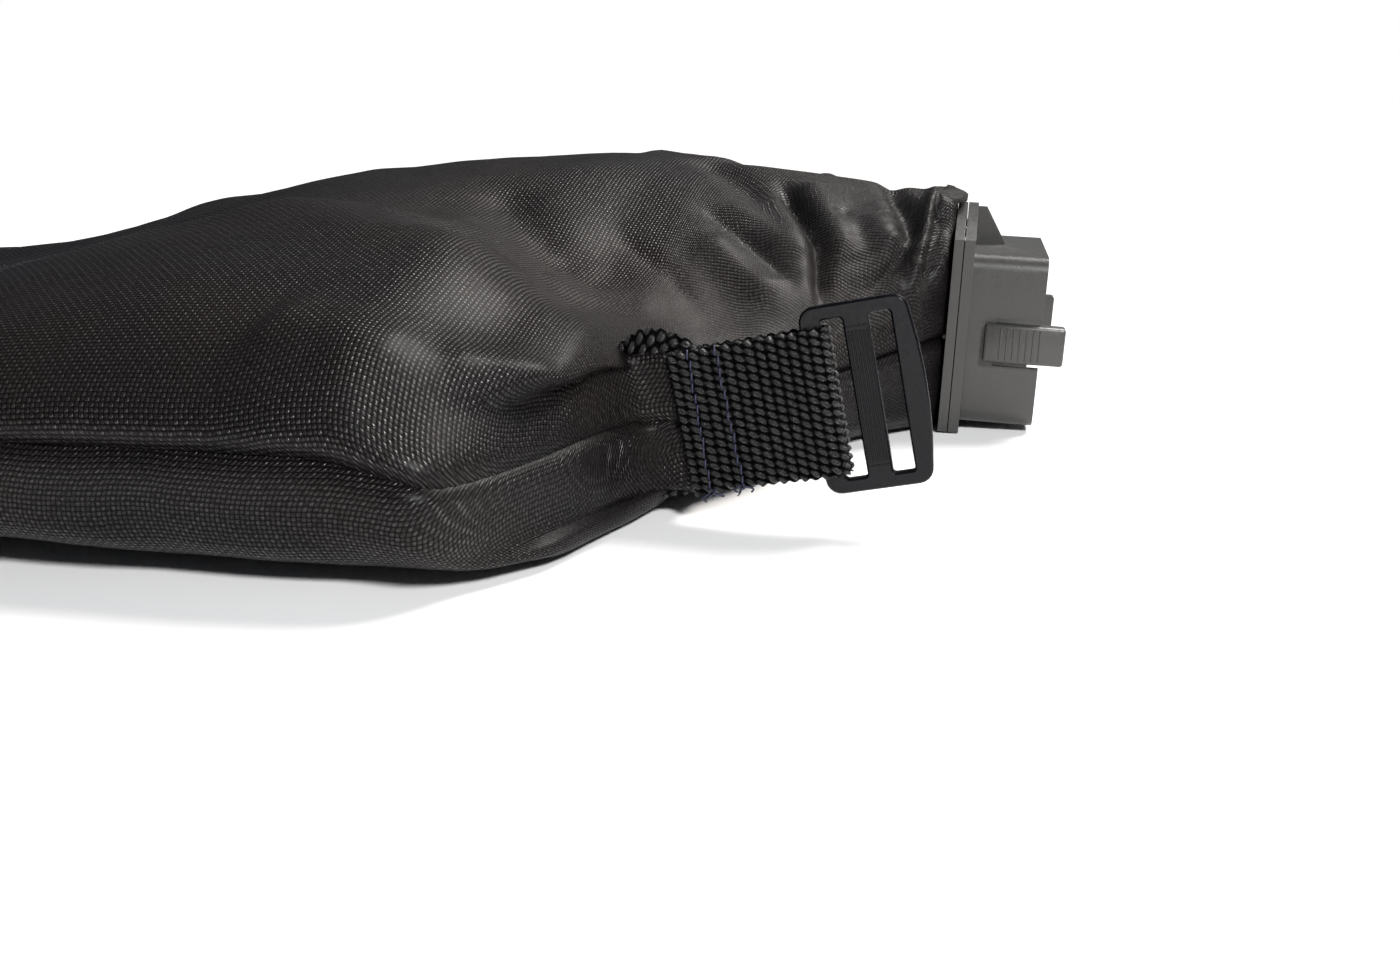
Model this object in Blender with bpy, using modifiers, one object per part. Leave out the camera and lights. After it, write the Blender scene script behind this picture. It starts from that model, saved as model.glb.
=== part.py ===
"""Leaf vacuum collection bag: two sewn fabric panels gathered into a moulded collar.

Metres, +Z up. The bag lies on the surface z = 0. +X runs from the zipped tail to the
collar, and the side with the strap tab is -Y.
"""
from math import cos, exp, pi, radians, sin, sqrt

import bmesh
import bpy
from mathutils import Matrix, Vector

MM = 0.001
GAP = 0.3 * MM

# Bag
BAG_HALF_WIDTH = 240 * MM
BAG_CROWN = 88.5 * MM
BAG_LENGTH = 537 * MM
FABRIC = 1.2 * MM
SIDE_SEAM_HEIGHT = 34 * MM
SHOULDER_SEAM_HEIGHT = 27 * MM
SHOULDER_LENGTH = 104 * MM
PUFF_FROM_MOUTH = 125 * MM
BOTTOM_FLATTENING = 5 * MM
TAIL_HEIGHT = 32 * MM
TAIL_SEAM_HEIGHT = 16 * MM
TAIL_ROUNDING = 8 * MM
TAIL_SLOT_HALF_HEIGHT = 5 * MM
TAIL_SLOT_INSET = 6 * MM
NECK_HALF_WIDTH = 45 * MM
NECK_CROWN = 74.5 * MM
NECK_BOTTOM = 2 * MM
HOLLOW_DEPTH = 22 * MM
HOLLOW_FROM_MOUTH = 99 * MM
HOLLOW_FROM_CENTRE = 108 * MM
HOLLOW_LENGTH = 55 * MM
HOLLOW_WIDTH = 45 * MM

# Collar
COLLAR_HEIGHT = 31.5 * MM
COLLAR_TILT = radians(2.5)
SNOUT_WIDTH = 80 * MM
SNOUT_DEPTH = 56.4 * MM
SNOUT_LENGTH = 24 * MM
SNOUT_WALL = 2.4 * MM
SNOUT_CORNER = 5 * MM
SNOUT_STEP = 1 * MM
FLANGE_THICKNESS = 3.4 * MM
FLANGE_HALF_WIDTH = 43.5 * MM
FLANGE_SIDE_TOP = 33 * MM
FLANGE_ARCH_TOP = 42 * MM
FLANGE_BOTTOM = 31 * MM
CLAMP_THICKNESS = 3.2 * MM
SPIGOT_LENGTH = 18 * MM
SPIGOT_WIDTH = 74 * MM
SPIGOT_DEPTH = 52 * MM
SPIGOT_WALL = 2.5 * MM
SPIGOT_CORNER = 9 * MM
LATCH_HEIGHT = 12.7 * MM
LATCH_PROUD = 3.5 * MM
LATCH_START = 9 * MM
LATCH_PAST_SNOUT = 7.5 * MM
LATCH_SLIT = 1.6 * MM
LATCH_SLIT_LENGTH = 15 * MM
LATCH_ROUNDING = 1 * MM
LATCH_ROOT = 1.5 * MM
GUSSET_THICKNESS = 2.4 * MM
GUSSET_LENGTH = 10 * MM
GUSSET_HEAD = 3 * MM
GUSSET_BELOW_ARCH = 1 * MM
CLAMP_OPENING_CORNER = 6 * MM
SCREW_RADIUS = 1.5 * MM
SCREW_HEAD_RADIUS = 2.8 * MM
SCREW_HEAD_HEIGHT = 1.8 * MM
SCREW_SPACING = 40 * MM

# Strap tab and three-bar slide
WEBBING_WIDTH = 38 * MM
WEBBING_THICKNESS = 1.8 * MM
TAB_FROM_MOUTH = 63.5 * MM
EAR_STAND_OFF = 8.5 * MM
TAB_RISE = radians(11)
TAB_LENGTH = 41.6 * MM
EAR_THICKNESS = 2.1 * MM
EAR_IN_TAB = 15 * MM
EAR_ROOT = 12 * MM
EAR_INSET = 1 * MM
LOOP_WRAP = 100
TAB_TAPER_RADII = 4
SLIDE_THICKNESS = 3 * MM
SLIDE_HEIGHT = 49 * MM
SLIDE_INNER_HEIGHT = 41.5 * MM
SLIDE_LOOP_BAR = 5.4 * MM
SLIDE_CENTRE_BAR = 6.6 * MM
SLIDE_SLOT = 5.6 * MM
SLIDE_OUTER_BAR = 4.6 * MM
SLIDE_BOW = 1.6 * MM
SLIDE_CORNER = 4 * MM
SLIDE_SLOT_CORNER = 0.8 * MM
SLIDE_EDGE = 0.5 * MM
SLIDE_CORNER_STEPS = 5
SLIDE_SLOT_STEPS = 3
SLIDE_BOW_PLACES = (-0.6, -0.2, 0.2, 0.6)
PIVOT_CLEARANCE = 0.25 * MM

# Zip in the tail
ZIP_LENGTH = 350 * MM
ZIP_TAPE_THICKNESS = 0.6 * MM
ZIP_TAPE_WIDTH = 6 * MM
ZIP_ROW_GAP = 1.2 * MM
ZIP_TOOTH_PITCH = 5 * MM
ZIP_TOOTH_HEIGHT = 0.9 * MM
ZIP_ROW_HEIGHT = 1.8 * MM
ZIP_ROW_DEPTH = 2.4 * MM
ZIP_SLIDER_LENGTH = 11 * MM
ZIP_SLIDER_HEIGHT = 8 * MM
ZIP_PLATE = 1 * MM
ZIP_WEB_LENGTH = 4 * MM
ZIP_BAIL_REACH = 3.4 * MM
ZIP_BAIL_WALL = 1.1 * MM
ZIP_BAIL_HALF_LENGTH = 3 * MM
ZIP_BAIL_HALF_HEIGHT = 0.6 * MM
ZIP_CROSSBAR = 1.2 * MM
ZIP_PULL_THICKNESS = 1 * MM
ZIP_PULL_LENGTH = 20 * MM
ZIP_PULL_WIDTH = 5.4 * MM
ZIP_PULL_WINDOW = 3.2 * MM
ZIP_STOP_LENGTH = 4 * MM
ZIP_END_MARGIN = 18.7 * MM

ROUND_SEGMENTS = 16
CORNER_STEPS = 4
PANEL_COLUMNS = 24
BODY_RINGS = 12
SHOULDER_RINGS = 13
RING_SQUARENESS = 9
TAIL_SQUARENESS = 4
LEAST_BOTTOM_SQUARENESS = 5
PAST = 5 * MM
WELD = 0.01 * MM
SHARP_ANGLE = radians(60)

# Rings round the tail's edge, as shares of its rounding
TAIL_RING_PLACES = (0, 0.13, 0.4, 0.7, 1)
# Shoulder outline: share of the way back from the mouth, share of the widening
SHOULDER_PROFILE = ((0, 0), (0.28, 0.2), (0.48, 0.42), (0.65, 0.59), (0.77, 0.8), (0.84, 0.93), (1, 1))
# Upper section's squareness: share of the way back from the mouth over the shoulder, exponent
SQUARENESS_PROFILE = ((0, 3.2), (0.15, 2.2), (0.3, 1.6), (0.6, 1.35), (0.95, 1.4), (1.25, 2.1))
# Crown behind the puff: share of the way to the tail, share of the fall
FALL_PROFILE = ((0, 0), (0.14, 0.06), (0.25, 0.17), (0.36, 0.38), (0.55, 0.7), (0.79, 0.92), (1, 1))

# Places along the collar's own axis, from the back of its flange
CLAMP_FRONT = -GAP
CLAMP_BACK = CLAMP_FRONT - CLAMP_THICKNESS
SNOUT_END = FLANGE_THICKNESS + SNOUT_LENGTH
LATCH_END = SNOUT_END + LATCH_PAST_SNOUT
SCREW_HEAD_BACK = FLANGE_THICKNESS - GAP - SCREW_HEAD_HEIGHT
RING_HALF_WIDTH = SPIGOT_WIDTH / 2 + GAP + FABRIC
RING_HALF_DEPTH = SPIGOT_DEPTH / 2 + GAP + FABRIC

# The tail is as wide as its zip, with a margin past each stop
TAIL_SLOT_HALF_WIDTH = ZIP_LENGTH / 2 + GAP + ZIP_STOP_LENGTH + ZIP_END_MARGIN
TAIL_HALF_WIDTH = TAIL_SLOT_HALF_WIDTH + TAIL_SLOT_INSET + TAIL_ROUNDING

# Places along the bag, with the origin half way between the zip's bail and the latch tips
ZIP_PLANE_DEPTH = FABRIC + GAP + ZIP_TAPE_THICKNESS / 2
ZIP_FRONT_REACH = ZIP_ROW_DEPTH / 2 + GAP + ZIP_PLATE + ZIP_BAIL_REACH - ZIP_PLANE_DEPTH
LATCH_REACH = LATCH_END * cos(COLLAR_TILT) + LATCH_HEIGHT / 2 * sin(COLLAR_TILT)
TOTAL_LENGTH = ZIP_FRONT_REACH + BAG_LENGTH + LATCH_REACH
TAIL_X = ZIP_FRONT_REACH - TOTAL_LENGTH / 2
FLANGE_BACK_X = TAIL_X + BAG_LENGTH
MOUTH_X = FLANGE_BACK_X + CLAMP_BACK - GAP
TAB_ROOT_X = MOUTH_X - TAB_FROM_MOUTH
SLIDE_LENGTH = SLIDE_LOOP_BAR + SLIDE_CENTRE_BAR + 2 * SLIDE_SLOT + SLIDE_OUTER_BAR
LOOP_RADIUS = sqrt((SLIDE_LOOP_BAR / 2) ** 2 + (SLIDE_THICKNESS / 2) ** 2) + PIVOT_CLEARANCE
PIVOT_IN_TAB = TAB_LENGTH - WEBBING_THICKNESS - LOOP_RADIUS

# Turns that stand an outline drawn in XY across the bag, or along it
TO_X = Matrix(((0, 0, 1, 0), (1, 0, 0, 0), (0, 1, 0, 0), (0, 0, 0, 1)))
TO_Y = Matrix(((1, 0, 0, 0), (0, 0, -1, 0), (0, 1, 0, 0), (0, 0, 0, 1)))


def clear_scene():
    for old in list(bpy.data.objects):
        bpy.data.objects.remove(old, do_unlink=True)


def new_collection(name):
    collection = bpy.data.collections.new(name)
    bpy.context.scene.collection.children.link(collection)
    return collection


def plain_material(name, colour, roughness, metallic=0.0):
    material = bpy.data.materials.new(name)
    material.use_nodes = True
    shader = material.node_tree.nodes["Principled BSDF"]
    shader.inputs["Base Color"].default_value = (*colour, 1)
    shader.inputs["Roughness"].default_value = roughness
    shader.inputs["Metallic"].default_value = metallic
    return material


def add_piece(name, mesh, finish=None, parent=None):
    """A piece of the bag with its material, or without one a cutter or a joined-on shape."""
    piece = bpy.data.objects.new(name, mesh)
    piece.parent = parent
    if finish is None:
        cutters.objects.link(piece)
        piece.hide_render = True
        piece.display_type = "WIRE"
    else:
        pieces.objects.link(piece)
        mesh.materials.append(finish)
    return piece


def add_empty(name, location, rotation=(0, 0, 0), parent=None):
    empty = bpy.data.objects.new(name, None)
    empty.location = location
    empty.rotation_euler = rotation
    empty.parent = parent
    cutters.objects.link(empty)
    return empty


def mesh_from(bm, name):
    bmesh.ops.recalc_face_normals(bm, faces=bm.faces)
    if bm.calc_volume(signed=True) < 0:
        bmesh.ops.reverse_faces(bm, faces=bm.faces)
    mesh = bpy.data.meshes.new(name)
    bm.to_mesh(mesh)
    bm.free()
    return mesh


def box_mesh(name, low, high):
    bm = bmesh.new()
    bmesh.ops.create_cube(bm, size=1)
    size = Vector(high) - Vector(low)
    centre = (Vector(high) + Vector(low)) / 2
    bmesh.ops.scale(bm, vec=size, verts=bm.verts)
    bmesh.ops.translate(bm, vec=centre, verts=bm.verts)
    return mesh_from(bm, name)


def prism_mesh(name, outline, low, high, turn=Matrix()):
    """An outline in the local XY plane, run from low to high along local Z, then turned."""
    bm = bmesh.new()
    face = bm.faces.new([bm.verts.new((x, y, low)) for x, y in outline])
    run = bmesh.ops.extrude_face_region(bm, geom=[face])
    moved = [part for part in run["geom"] if isinstance(part, bmesh.types.BMVert)]
    bmesh.ops.translate(bm, vec=(0, 0, high - low), verts=moved)
    bm.transform(turn)
    return mesh_from(bm, name)


def plate_mesh(name, loops, thickness, turn=Matrix(), edge=0.0):
    """A flat plate with holes: a filled 2D curve of closed loops, made a mesh."""
    curve = bpy.data.curves.new(name, "CURVE")
    curve.dimensions = "2D"
    curve.fill_mode = "BOTH"
    curve.extrude = thickness / 2
    for loop in loops:
        spline = curve.splines.new("POLY")
        spline.points.add(len(loop) - 1)
        spline.use_cyclic_u = True
        for point, (x, y) in zip(spline.points, loop):
            point.co = (x, y, 0, 1)
    holder = bpy.data.objects.new(name + "_curve", curve)
    cutters.objects.link(holder)
    graph = bpy.context.evaluated_depsgraph_get()
    mesh = bpy.data.meshes.new_from_object(holder.evaluated_get(graph))
    bpy.data.objects.remove(holder)
    bm = bmesh.new()
    bm.from_mesh(mesh)
    bmesh.ops.remove_doubles(bm, verts=bm.verts, dist=WELD)
    if edge:
        rims = [e for e in bm.edges if e.is_manifold and e.calc_face_angle() > SHARP_ANGLE]
        bmesh.ops.bevel(bm, geom=rims, offset=edge, segments=1, affect="EDGES")
    bm.transform(turn)
    bpy.data.meshes.remove(mesh)
    return mesh_from(bm, name)


def arc(centre, radius, start, end, steps):
    return [
        (
            centre[0] + radius * cos(radians(start + (end - start) * i / steps)),
            centre[1] + radius * sin(radians(start + (end - start) * i / steps)),
        )
        for i in range(steps + 1)
    ]


def rounded_rectangle(width, height, corner, steps=CORNER_STEPS):
    right = width / 2 - corner
    top = height / 2 - corner
    corners = ((right, top, 0), (-right, top, 90), (-right, -top, 180), (right, -top, 270))
    outline = []
    for x, y, start in corners:
        outline += arc((x, y), corner, start, start + 90, steps)
    return outline


def joined(target, other, operation="UNION"):
    modifier = target.modifiers.new(other.name, "BOOLEAN")
    modifier.operation = operation
    modifier.object = other
    modifier.solver = "EXACT"


def profile(points, share):
    """A smooth rise through a few points that never overshoots them."""
    share = min(max(share, points[0][0]), points[-1][0])
    slopes = [(b[1] - a[1]) / (b[0] - a[0]) for a, b in zip(points, points[1:])]
    tangents = [slopes[0]]
    for before, after in zip(slopes, slopes[1:]):
        product = before * after
        tangents.append(2 * product / (before + after) if product > 0 else 0)
    tangents.append(0)
    index = 0
    while share > points[index + 1][0]:
        index += 1
    (x0, y0), (x1, y1) = points[index], points[index + 1]
    span = x1 - x0
    t = (share - x0) / span
    return (
        y0 * (1 + 2 * t) * (1 - t) ** 2
        + y1 * t * t * (3 - 2 * t)
        + span * tangents[index] * t * (1 - t) ** 2
        - span * tangents[index + 1] * t * t * (1 - t)
    )


def eased(share):
    share = min(max(share, 0), 1)
    return share * share * (3 - 2 * share)


def blended(start, end, share):
    return start + (end - start) * share


def bag_section(x):
    """Half width, crown, seam height, bottom and squareness of the bag at a place along it."""
    back = MOUTH_X - x
    to_tail = (x - TAIL_X) / (MOUTH_X - TAIL_X)
    full = blended(TAIL_HALF_WIDTH, BAG_HALF_WIDTH, eased(to_tail * 2))
    half_width = blended(NECK_HALF_WIDTH, full, profile(SHOULDER_PROFILE, back / SHOULDER_LENGTH))
    if back < PUFF_FROM_MOUTH:
        crown = blended(NECK_CROWN, BAG_CROWN, sin(back / PUFF_FROM_MOUTH * pi / 2))
    else:
        fall = (back - PUFF_FROM_MOUTH) / (MOUTH_X - TAIL_X - PUFF_FROM_MOUTH)
        crown = blended(BAG_CROWN, TAIL_HEIGHT, profile(FALL_PROFILE, fall))
    tab_back = MOUTH_X - TAB_ROOT_X
    if back < tab_back:
        seam = blended(COLLAR_HEIGHT, SHOULDER_SEAM_HEIGHT, eased(2 * back / tab_back))
    else:
        rise = eased((back - tab_back - 2 * EAR_ROOT) / SHOULDER_LENGTH * 2)
        seam = blended(SHOULDER_SEAM_HEIGHT, SIDE_SEAM_HEIGHT, rise)
        seam = blended(TAIL_SEAM_HEIGHT, seam, eased(to_tail * 2))
    bottom = NECK_BOTTOM * (1 - eased(2 * back / SHOULDER_LENGTH))
    flattening = BOTTOM_FLATTENING * eased(2 * back / SHOULDER_LENGTH)
    squareness = profile(SQUARENESS_PROFILE, back / SHOULDER_LENGTH)
    squareness = blended(TAIL_SQUARENESS, squareness, eased(to_tail * 3))
    return half_width, crown, seam, bottom, flattening, squareness


def bag_stations():
    """Rings from tail to mouth: (outer x, inner x, section)."""
    stations = []
    _, _, seam, _, _, squareness = bag_section(TAIL_X)
    slot = (
        TAIL_SLOT_HALF_WIDTH,
        seam + TAIL_SLOT_HALF_HEIGHT,
        seam,
        seam - TAIL_SLOT_HALF_HEIGHT,
        0,
        squareness,
    )
    stations.append((TAIL_X, TAIL_X + FABRIC, slot, 0))
    for inset in TAIL_RING_PLACES:
        x = TAIL_X + inset * TAIL_ROUNDING
        half_width, crown, seam, bottom, flattening, squareness = bag_section(x)
        sunk = TAIL_ROUNDING * (1 - sqrt(1 - (1 - inset) ** 2))
        end = (half_width - sunk, crown - sunk, seam, bottom + sunk, flattening * inset, squareness)
        stations.append((x, max(x, TAIL_X + FABRIC), end, FABRIC))
    start = TAIL_X + TAIL_ROUNDING
    shoulder = MOUTH_X - SHOULDER_LENGTH
    for i in range(1, BODY_RINGS + 1):
        x = blended(start, shoulder, i / BODY_RINGS)
        stations.append((x, x, bag_section(x), FABRIC))
    for i in range(1, SHOULDER_RINGS + 1):
        x = blended(shoulder, MOUTH_X - FABRIC, i / SHOULDER_RINGS)
        stations.append((x, x, bag_section(x), FABRIC))
    ring = (
        RING_HALF_WIDTH,
        COLLAR_HEIGHT + RING_HALF_DEPTH,
        COLLAR_HEIGHT,
        COLLAR_HEIGHT - RING_HALF_DEPTH,
        0,
        RING_SQUARENESS,
    )
    stations.append((MOUTH_X, MOUTH_X - FABRIC, ring, FABRIC))
    stations.append((FLANGE_BACK_X - GAP, FLANGE_BACK_X - GAP, ring, FABRIC))
    return stations


def leaned(point):
    """The neck leans with the collar, and the lean fades over the shoulder."""
    share = eased(1 - (MOUTH_X - point.x) / (SHOULDER_LENGTH / 2))
    pivot = Matrix.Translation((FLANGE_BACK_X, 0, COLLAR_HEIGHT))
    return pivot @ Matrix.Rotation(COLLAR_TILT * share, 4, "Y") @ pivot.inverted() @ point


def hollow(x, y):
    """How far the slack fabric behind each shoulder sinks."""
    along = (MOUTH_X - x - HOLLOW_FROM_MOUTH) / HOLLOW_LENGTH
    across = (abs(y) - HOLLOW_FROM_CENTRE) / HOLLOW_WIDTH
    return HOLLOW_DEPTH * exp(-along * along - across * across)


def section_points(x, section, shrink, upper):
    """One ring of a panel, from the near seam over the crown or under the bottom."""
    half_width, crown, seam, bottom, flattening, squareness = section
    points = []
    for i in range(PANEL_COLUMNS + 1):
        angle = pi * i / PANEL_COLUMNS
        power = 2 / (squareness if upper else max(squareness, LEAST_BOTTOM_SQUARENESS))
        across = -abs(cos(angle)) ** power * (1 if angle < pi / 2 else -1)
        along = abs(sin(angle)) ** power
        if upper:
            z = seam + GAP / 2 + (crown - shrink - seam - GAP / 2) * along
            z -= hollow(x, half_width * across) * eased(3 * along)
        else:
            drop = seam - GAP / 2 - bottom + flattening - shrink
            z = max(seam - GAP / 2 - drop * along, bottom + shrink)
        points.append(leaned(Vector((x, (half_width - shrink) * across, z))))
    return points


def panel_mesh(name, upper):
    """A lofted shell: outer and inner rings joined by a rim all the way round."""
    bm = bmesh.new()
    outer = []
    inner = []
    for x, inner_x, section, wall in bag_stations():
        outer.append([bm.verts.new(p) for p in section_points(x, section, 0, upper)])
        inner.append([bm.verts.new(p) for p in section_points(inner_x, section, wall, upper)])
    last = len(outer) - 1
    for i in range(last):
        for j in range(PANEL_COLUMNS):
            for skin in (outer, inner):
                bm.faces.new((skin[i][j], skin[i + 1][j], skin[i + 1][j + 1], skin[i][j + 1]))
    for i in range(last):
        for j in (0, PANEL_COLUMNS):
            bm.faces.new((outer[i][j], outer[i + 1][j], inner[i + 1][j], inner[i][j]))
    for j in range(PANEL_COLUMNS):
        for i in (0, last):
            bm.faces.new((outer[i][j], outer[i][j + 1], inner[i][j + 1], inner[i][j]))
    return mesh_from(bm, name)


def ear_mesh(name, upper):
    """The flat fabric corner that the strap tab is sewn over, above or below the seam."""
    side = 1 if upper else -1
    seam = SHOULDER_SEAM_HEIGHT + side * GAP / 2
    reach = WEBBING_WIDTH / 2 - EAR_INSET
    tip = tab_frame @ Vector((EAR_IN_TAB, 0, side * reach))
    foot = tab_frame @ Vector((-EAR_ROOT, 0, side * reach))
    near = tab_frame @ Vector((EAR_IN_TAB, 0, 0))
    outline = [(foot.x, seam), (near.x, seam), (tip.x, tip.z), (foot.x, foot.z)]
    half = EAR_THICKNESS / 2
    across = -tab_frame.translation.y
    return prism_mesh(name, outline, across - half, across + half, TO_Y)


def make_panels():
    for name, upper, finish in (
        ("upper_panel", True, black_fabric),
        ("lower_panel", False, black_fabric),
    ):
        panel = add_piece(name, panel_mesh(name, upper), finish)
        joined(panel, add_piece(name + "_ear", ear_mesh(name + "_ear", upper)))


def flange_outline():
    """Straight sides and bottom, with a top that arches between the sides."""
    half = FLANGE_HALF_WIDTH
    rise = FLANGE_ARCH_TOP - FLANGE_SIDE_TOP
    radius = (half * half + rise * rise) / (2 * rise)
    outline = [(-half, -FLANGE_BOTTOM), (half, -FLANGE_BOTTOM)]
    for i in range(ROUND_SEGMENTS + 1):
        across = half - 2 * half * i / ROUND_SEGMENTS
        outline.append((across, FLANGE_ARCH_TOP - radius + sqrt(radius * radius - across * across)))
    return outline


def screw_places():
    """Two screws under the flange's arch, either side of the gusset, their heads sunk in its face."""
    level = (SNOUT_DEPTH / 2 + FLANGE_SIDE_TOP) / 2 + SCREW_HEAD_RADIUS
    return [(-SCREW_SPACING / 2, level), (SCREW_SPACING / 2, level)]


def circle(centre, radius):
    return arc(centre, radius, 0, 360, ROUND_SEGMENTS)[:-1]


def collar_shape(name, outline, low, high):
    return add_piece(name, prism_mesh(name, outline, low, high, TO_X), parent=collar_place)


def make_collar():
    half = SNOUT_WIDTH / 2
    snout = rounded_rectangle(SNOUT_WIDTH, SNOUT_DEPTH, SNOUT_CORNER)
    mesh = prism_mesh("collar_body", snout, FLANGE_THICKNESS / 2, SNOUT_END, TO_X)
    body = add_piece("collar_body", mesh, grey_plastic, collar_place)
    joined(body, collar_shape("collar_flange", flange_outline(), 0, FLANGE_THICKNESS))
    spigot = rounded_rectangle(SPIGOT_WIDTH, SPIGOT_DEPTH, SPIGOT_CORNER)
    joined(body, collar_shape("collar_spigot", spigot, -SPIGOT_LENGTH, FLANGE_THICKNESS / 2))
    for name, level in (("slit_above", 1), ("slit_below", -1)):
        low, high = sorted((level * (LATCH_HEIGHT / 2 - LATCH_ROOT), level * (LATCH_HEIGHT / 2 + LATCH_SLIT)))
        start = (SNOUT_END - LATCH_SLIT_LENGTH, -half - PAST, low)
        mesh = box_mesh(name, start, (LATCH_END + PAST, half + PAST, high))
        joined(body, add_piece(name, mesh, parent=collar_place), "DIFFERENCE")
    for side, end in ((-1, "near"), (1, "far")):
        joined(body, latch_tongue("latch_" + end, side))
    joined(body, gusset())
    bore = rounded_rectangle(
        SPIGOT_WIDTH - 2 * SPIGOT_WALL, SPIGOT_DEPTH - 2 * SPIGOT_WALL, SPIGOT_CORNER - SPIGOT_WALL
    )
    joined(body, collar_shape("bore", bore, -SPIGOT_LENGTH - PAST, LATCH_END + PAST), "DIFFERENCE")
    mouth = rounded_rectangle(
        SNOUT_WIDTH - 2 * SNOUT_WALL, SNOUT_DEPTH - 2 * SNOUT_WALL, SNOUT_CORNER - SNOUT_WALL / 2
    )
    joined(body, collar_shape("mouth", mouth, FLANGE_THICKNESS + SNOUT_STEP, LATCH_END + PAST), "DIFFERENCE")
    for number, centre in enumerate(screw_places(), 1):
        hole = circle(centre, SCREW_RADIUS + GAP)
        name = "screw_hole_%d" % number
        joined(body, collar_shape(name, hole, -PAST, FLANGE_THICKNESS + PAST), "DIFFERENCE")
        recess = circle(centre, SCREW_HEAD_RADIUS + GAP)
        name = "screw_recess_%d" % number
        joined(body, collar_shape(name, recess, SCREW_HEAD_BACK - GAP, FLANGE_THICKNESS + PAST), "DIFFERENCE")


def latch_tongue(name, side):
    """A sprung tongue along the snout's side wall, with its tip past the snout's end."""
    face = SNOUT_WIDTH / 2
    low, high = sorted((side * (face + LATCH_PROUD), side * (face - SNOUT_WALL - LATCH_ROOT)))
    mesh = box_mesh(
        name, (LATCH_START, low, -LATCH_HEIGHT / 2), (LATCH_END, high, LATCH_HEIGHT / 2)
    )
    tongue = add_piece(name, mesh, parent=collar_place)
    rounding = tongue.modifiers.new("rounding", "BEVEL")
    rounding.width = LATCH_ROUNDING
    rounding.segments = 2
    return tongue


def gusset():
    """The rib on top of the snout that props the flange's arch."""
    foot = SNOUT_DEPTH / 2 - SNOUT_WALL / 2
    head = FLANGE_ARCH_TOP - GUSSET_BELOW_ARCH
    outline = [
        (FLANGE_THICKNESS / 2, foot),
        (FLANGE_THICKNESS + GUSSET_LENGTH, foot),
        (FLANGE_THICKNESS + GUSSET_LENGTH, SNOUT_DEPTH / 2 + GUSSET_BELOW_ARCH),
        (FLANGE_THICKNESS + GUSSET_HEAD, head),
        (FLANGE_THICKNESS / 2, head),
    ]
    half = GUSSET_THICKNESS / 2
    return add_piece("gusset", prism_mesh("gusset", outline, -half, half, TO_Y), parent=collar_place)


def make_clamp():
    """The frame that traps the gathered mouth of the bag round the spigot, and its screws."""
    opening = rounded_rectangle(
        2 * (RING_HALF_WIDTH + GAP), 2 * (RING_HALF_DEPTH + GAP), CLAMP_OPENING_CORNER
    )
    holes = [circle(centre, SCREW_RADIUS + GAP) for centre in screw_places()]
    place = Matrix.Translation(((CLAMP_FRONT + CLAMP_BACK) / 2, 0, 0)) @ TO_X
    loops = [flange_outline(), opening] + holes
    mesh = plate_mesh("clamp_frame", loops, CLAMP_THICKNESS, place)
    add_piece("clamp_frame", mesh, grey_plastic, collar_place)
    for number, centre in enumerate(screw_places(), 1):
        name = "clamp_screw_%d" % number
        head_front = SCREW_HEAD_BACK + SCREW_HEAD_HEIGHT
        head = prism_mesh(name, circle(centre, SCREW_HEAD_RADIUS), SCREW_HEAD_BACK, head_front, TO_X)
        screw = add_piece(name, head, steel, collar_place)
        shank = circle(centre, SCREW_RADIUS)
        shank_front = (SCREW_HEAD_BACK + head_front) / 2
        joined(screw, collar_shape(name + "_shank", shank, CLAMP_BACK, shank_front))


def make_strap_tab():
    """Webbing folded round the slide's loop bar, with both ends sewn over the ear."""
    inner = EAR_THICKNESS / 2 + GAP
    outer = inner + WEBBING_THICKNESS
    straight = PIVOT_IN_TAB - TAB_TAPER_RADII * LOOP_RADIUS
    centre = (PIVOT_IN_TAB, 0)
    outline = [(0, -outer), (straight, -outer)]
    outline += arc(centre, LOOP_RADIUS + WEBBING_THICKNESS, -LOOP_WRAP, LOOP_WRAP, ROUND_SEGMENTS)
    outline += [(straight, outer), (0, outer), (0, inner), (straight, inner)]
    outline += arc(centre, LOOP_RADIUS, LOOP_WRAP, -LOOP_WRAP, ROUND_SEGMENTS)
    outline += [(straight, -inner), (0, -inner)]
    mesh = prism_mesh("strap_tab", outline, -WEBBING_WIDTH / 2, WEBBING_WIDTH / 2)
    add_piece("strap_tab", mesh, black_webbing, tab_place)


def make_slide():
    """A three-bar slide whose far bar bows outwards. Its origin is on the loop bar's axis."""
    left = -SLIDE_LOOP_BAR / 2
    right = left + SLIDE_LENGTH
    top = SLIDE_HEIGHT / 2
    straight = top - SLIDE_CORNER
    far = right - SLIDE_CORNER
    near = left + SLIDE_CORNER
    outer = []
    corners = ((far, straight), (near, straight), (near, -straight), (far, -straight))
    for quarter, corner in enumerate(corners):
        outer += arc(corner, SLIDE_CORNER, 90 * quarter, 90 * quarter + 90, SLIDE_CORNER_STEPS)
    for share in SLIDE_BOW_PLACES:
        outer.append((right + SLIDE_BOW * (1 - share * share), share * straight))
    loops = [outer]
    for start in (-left, -left + SLIDE_SLOT + SLIDE_CENTRE_BAR):
        slot = rounded_rectangle(SLIDE_SLOT, SLIDE_INNER_HEIGHT, SLIDE_SLOT_CORNER, SLIDE_SLOT_STEPS)
        loops.append([(x + start + SLIDE_SLOT / 2, y) for x, y in slot])
    mesh = plate_mesh("triglide_slide", loops, SLIDE_THICKNESS, TO_Y, SLIDE_EDGE)
    add_piece("triglide_slide", mesh, black_plastic, slide_pivot)


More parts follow.
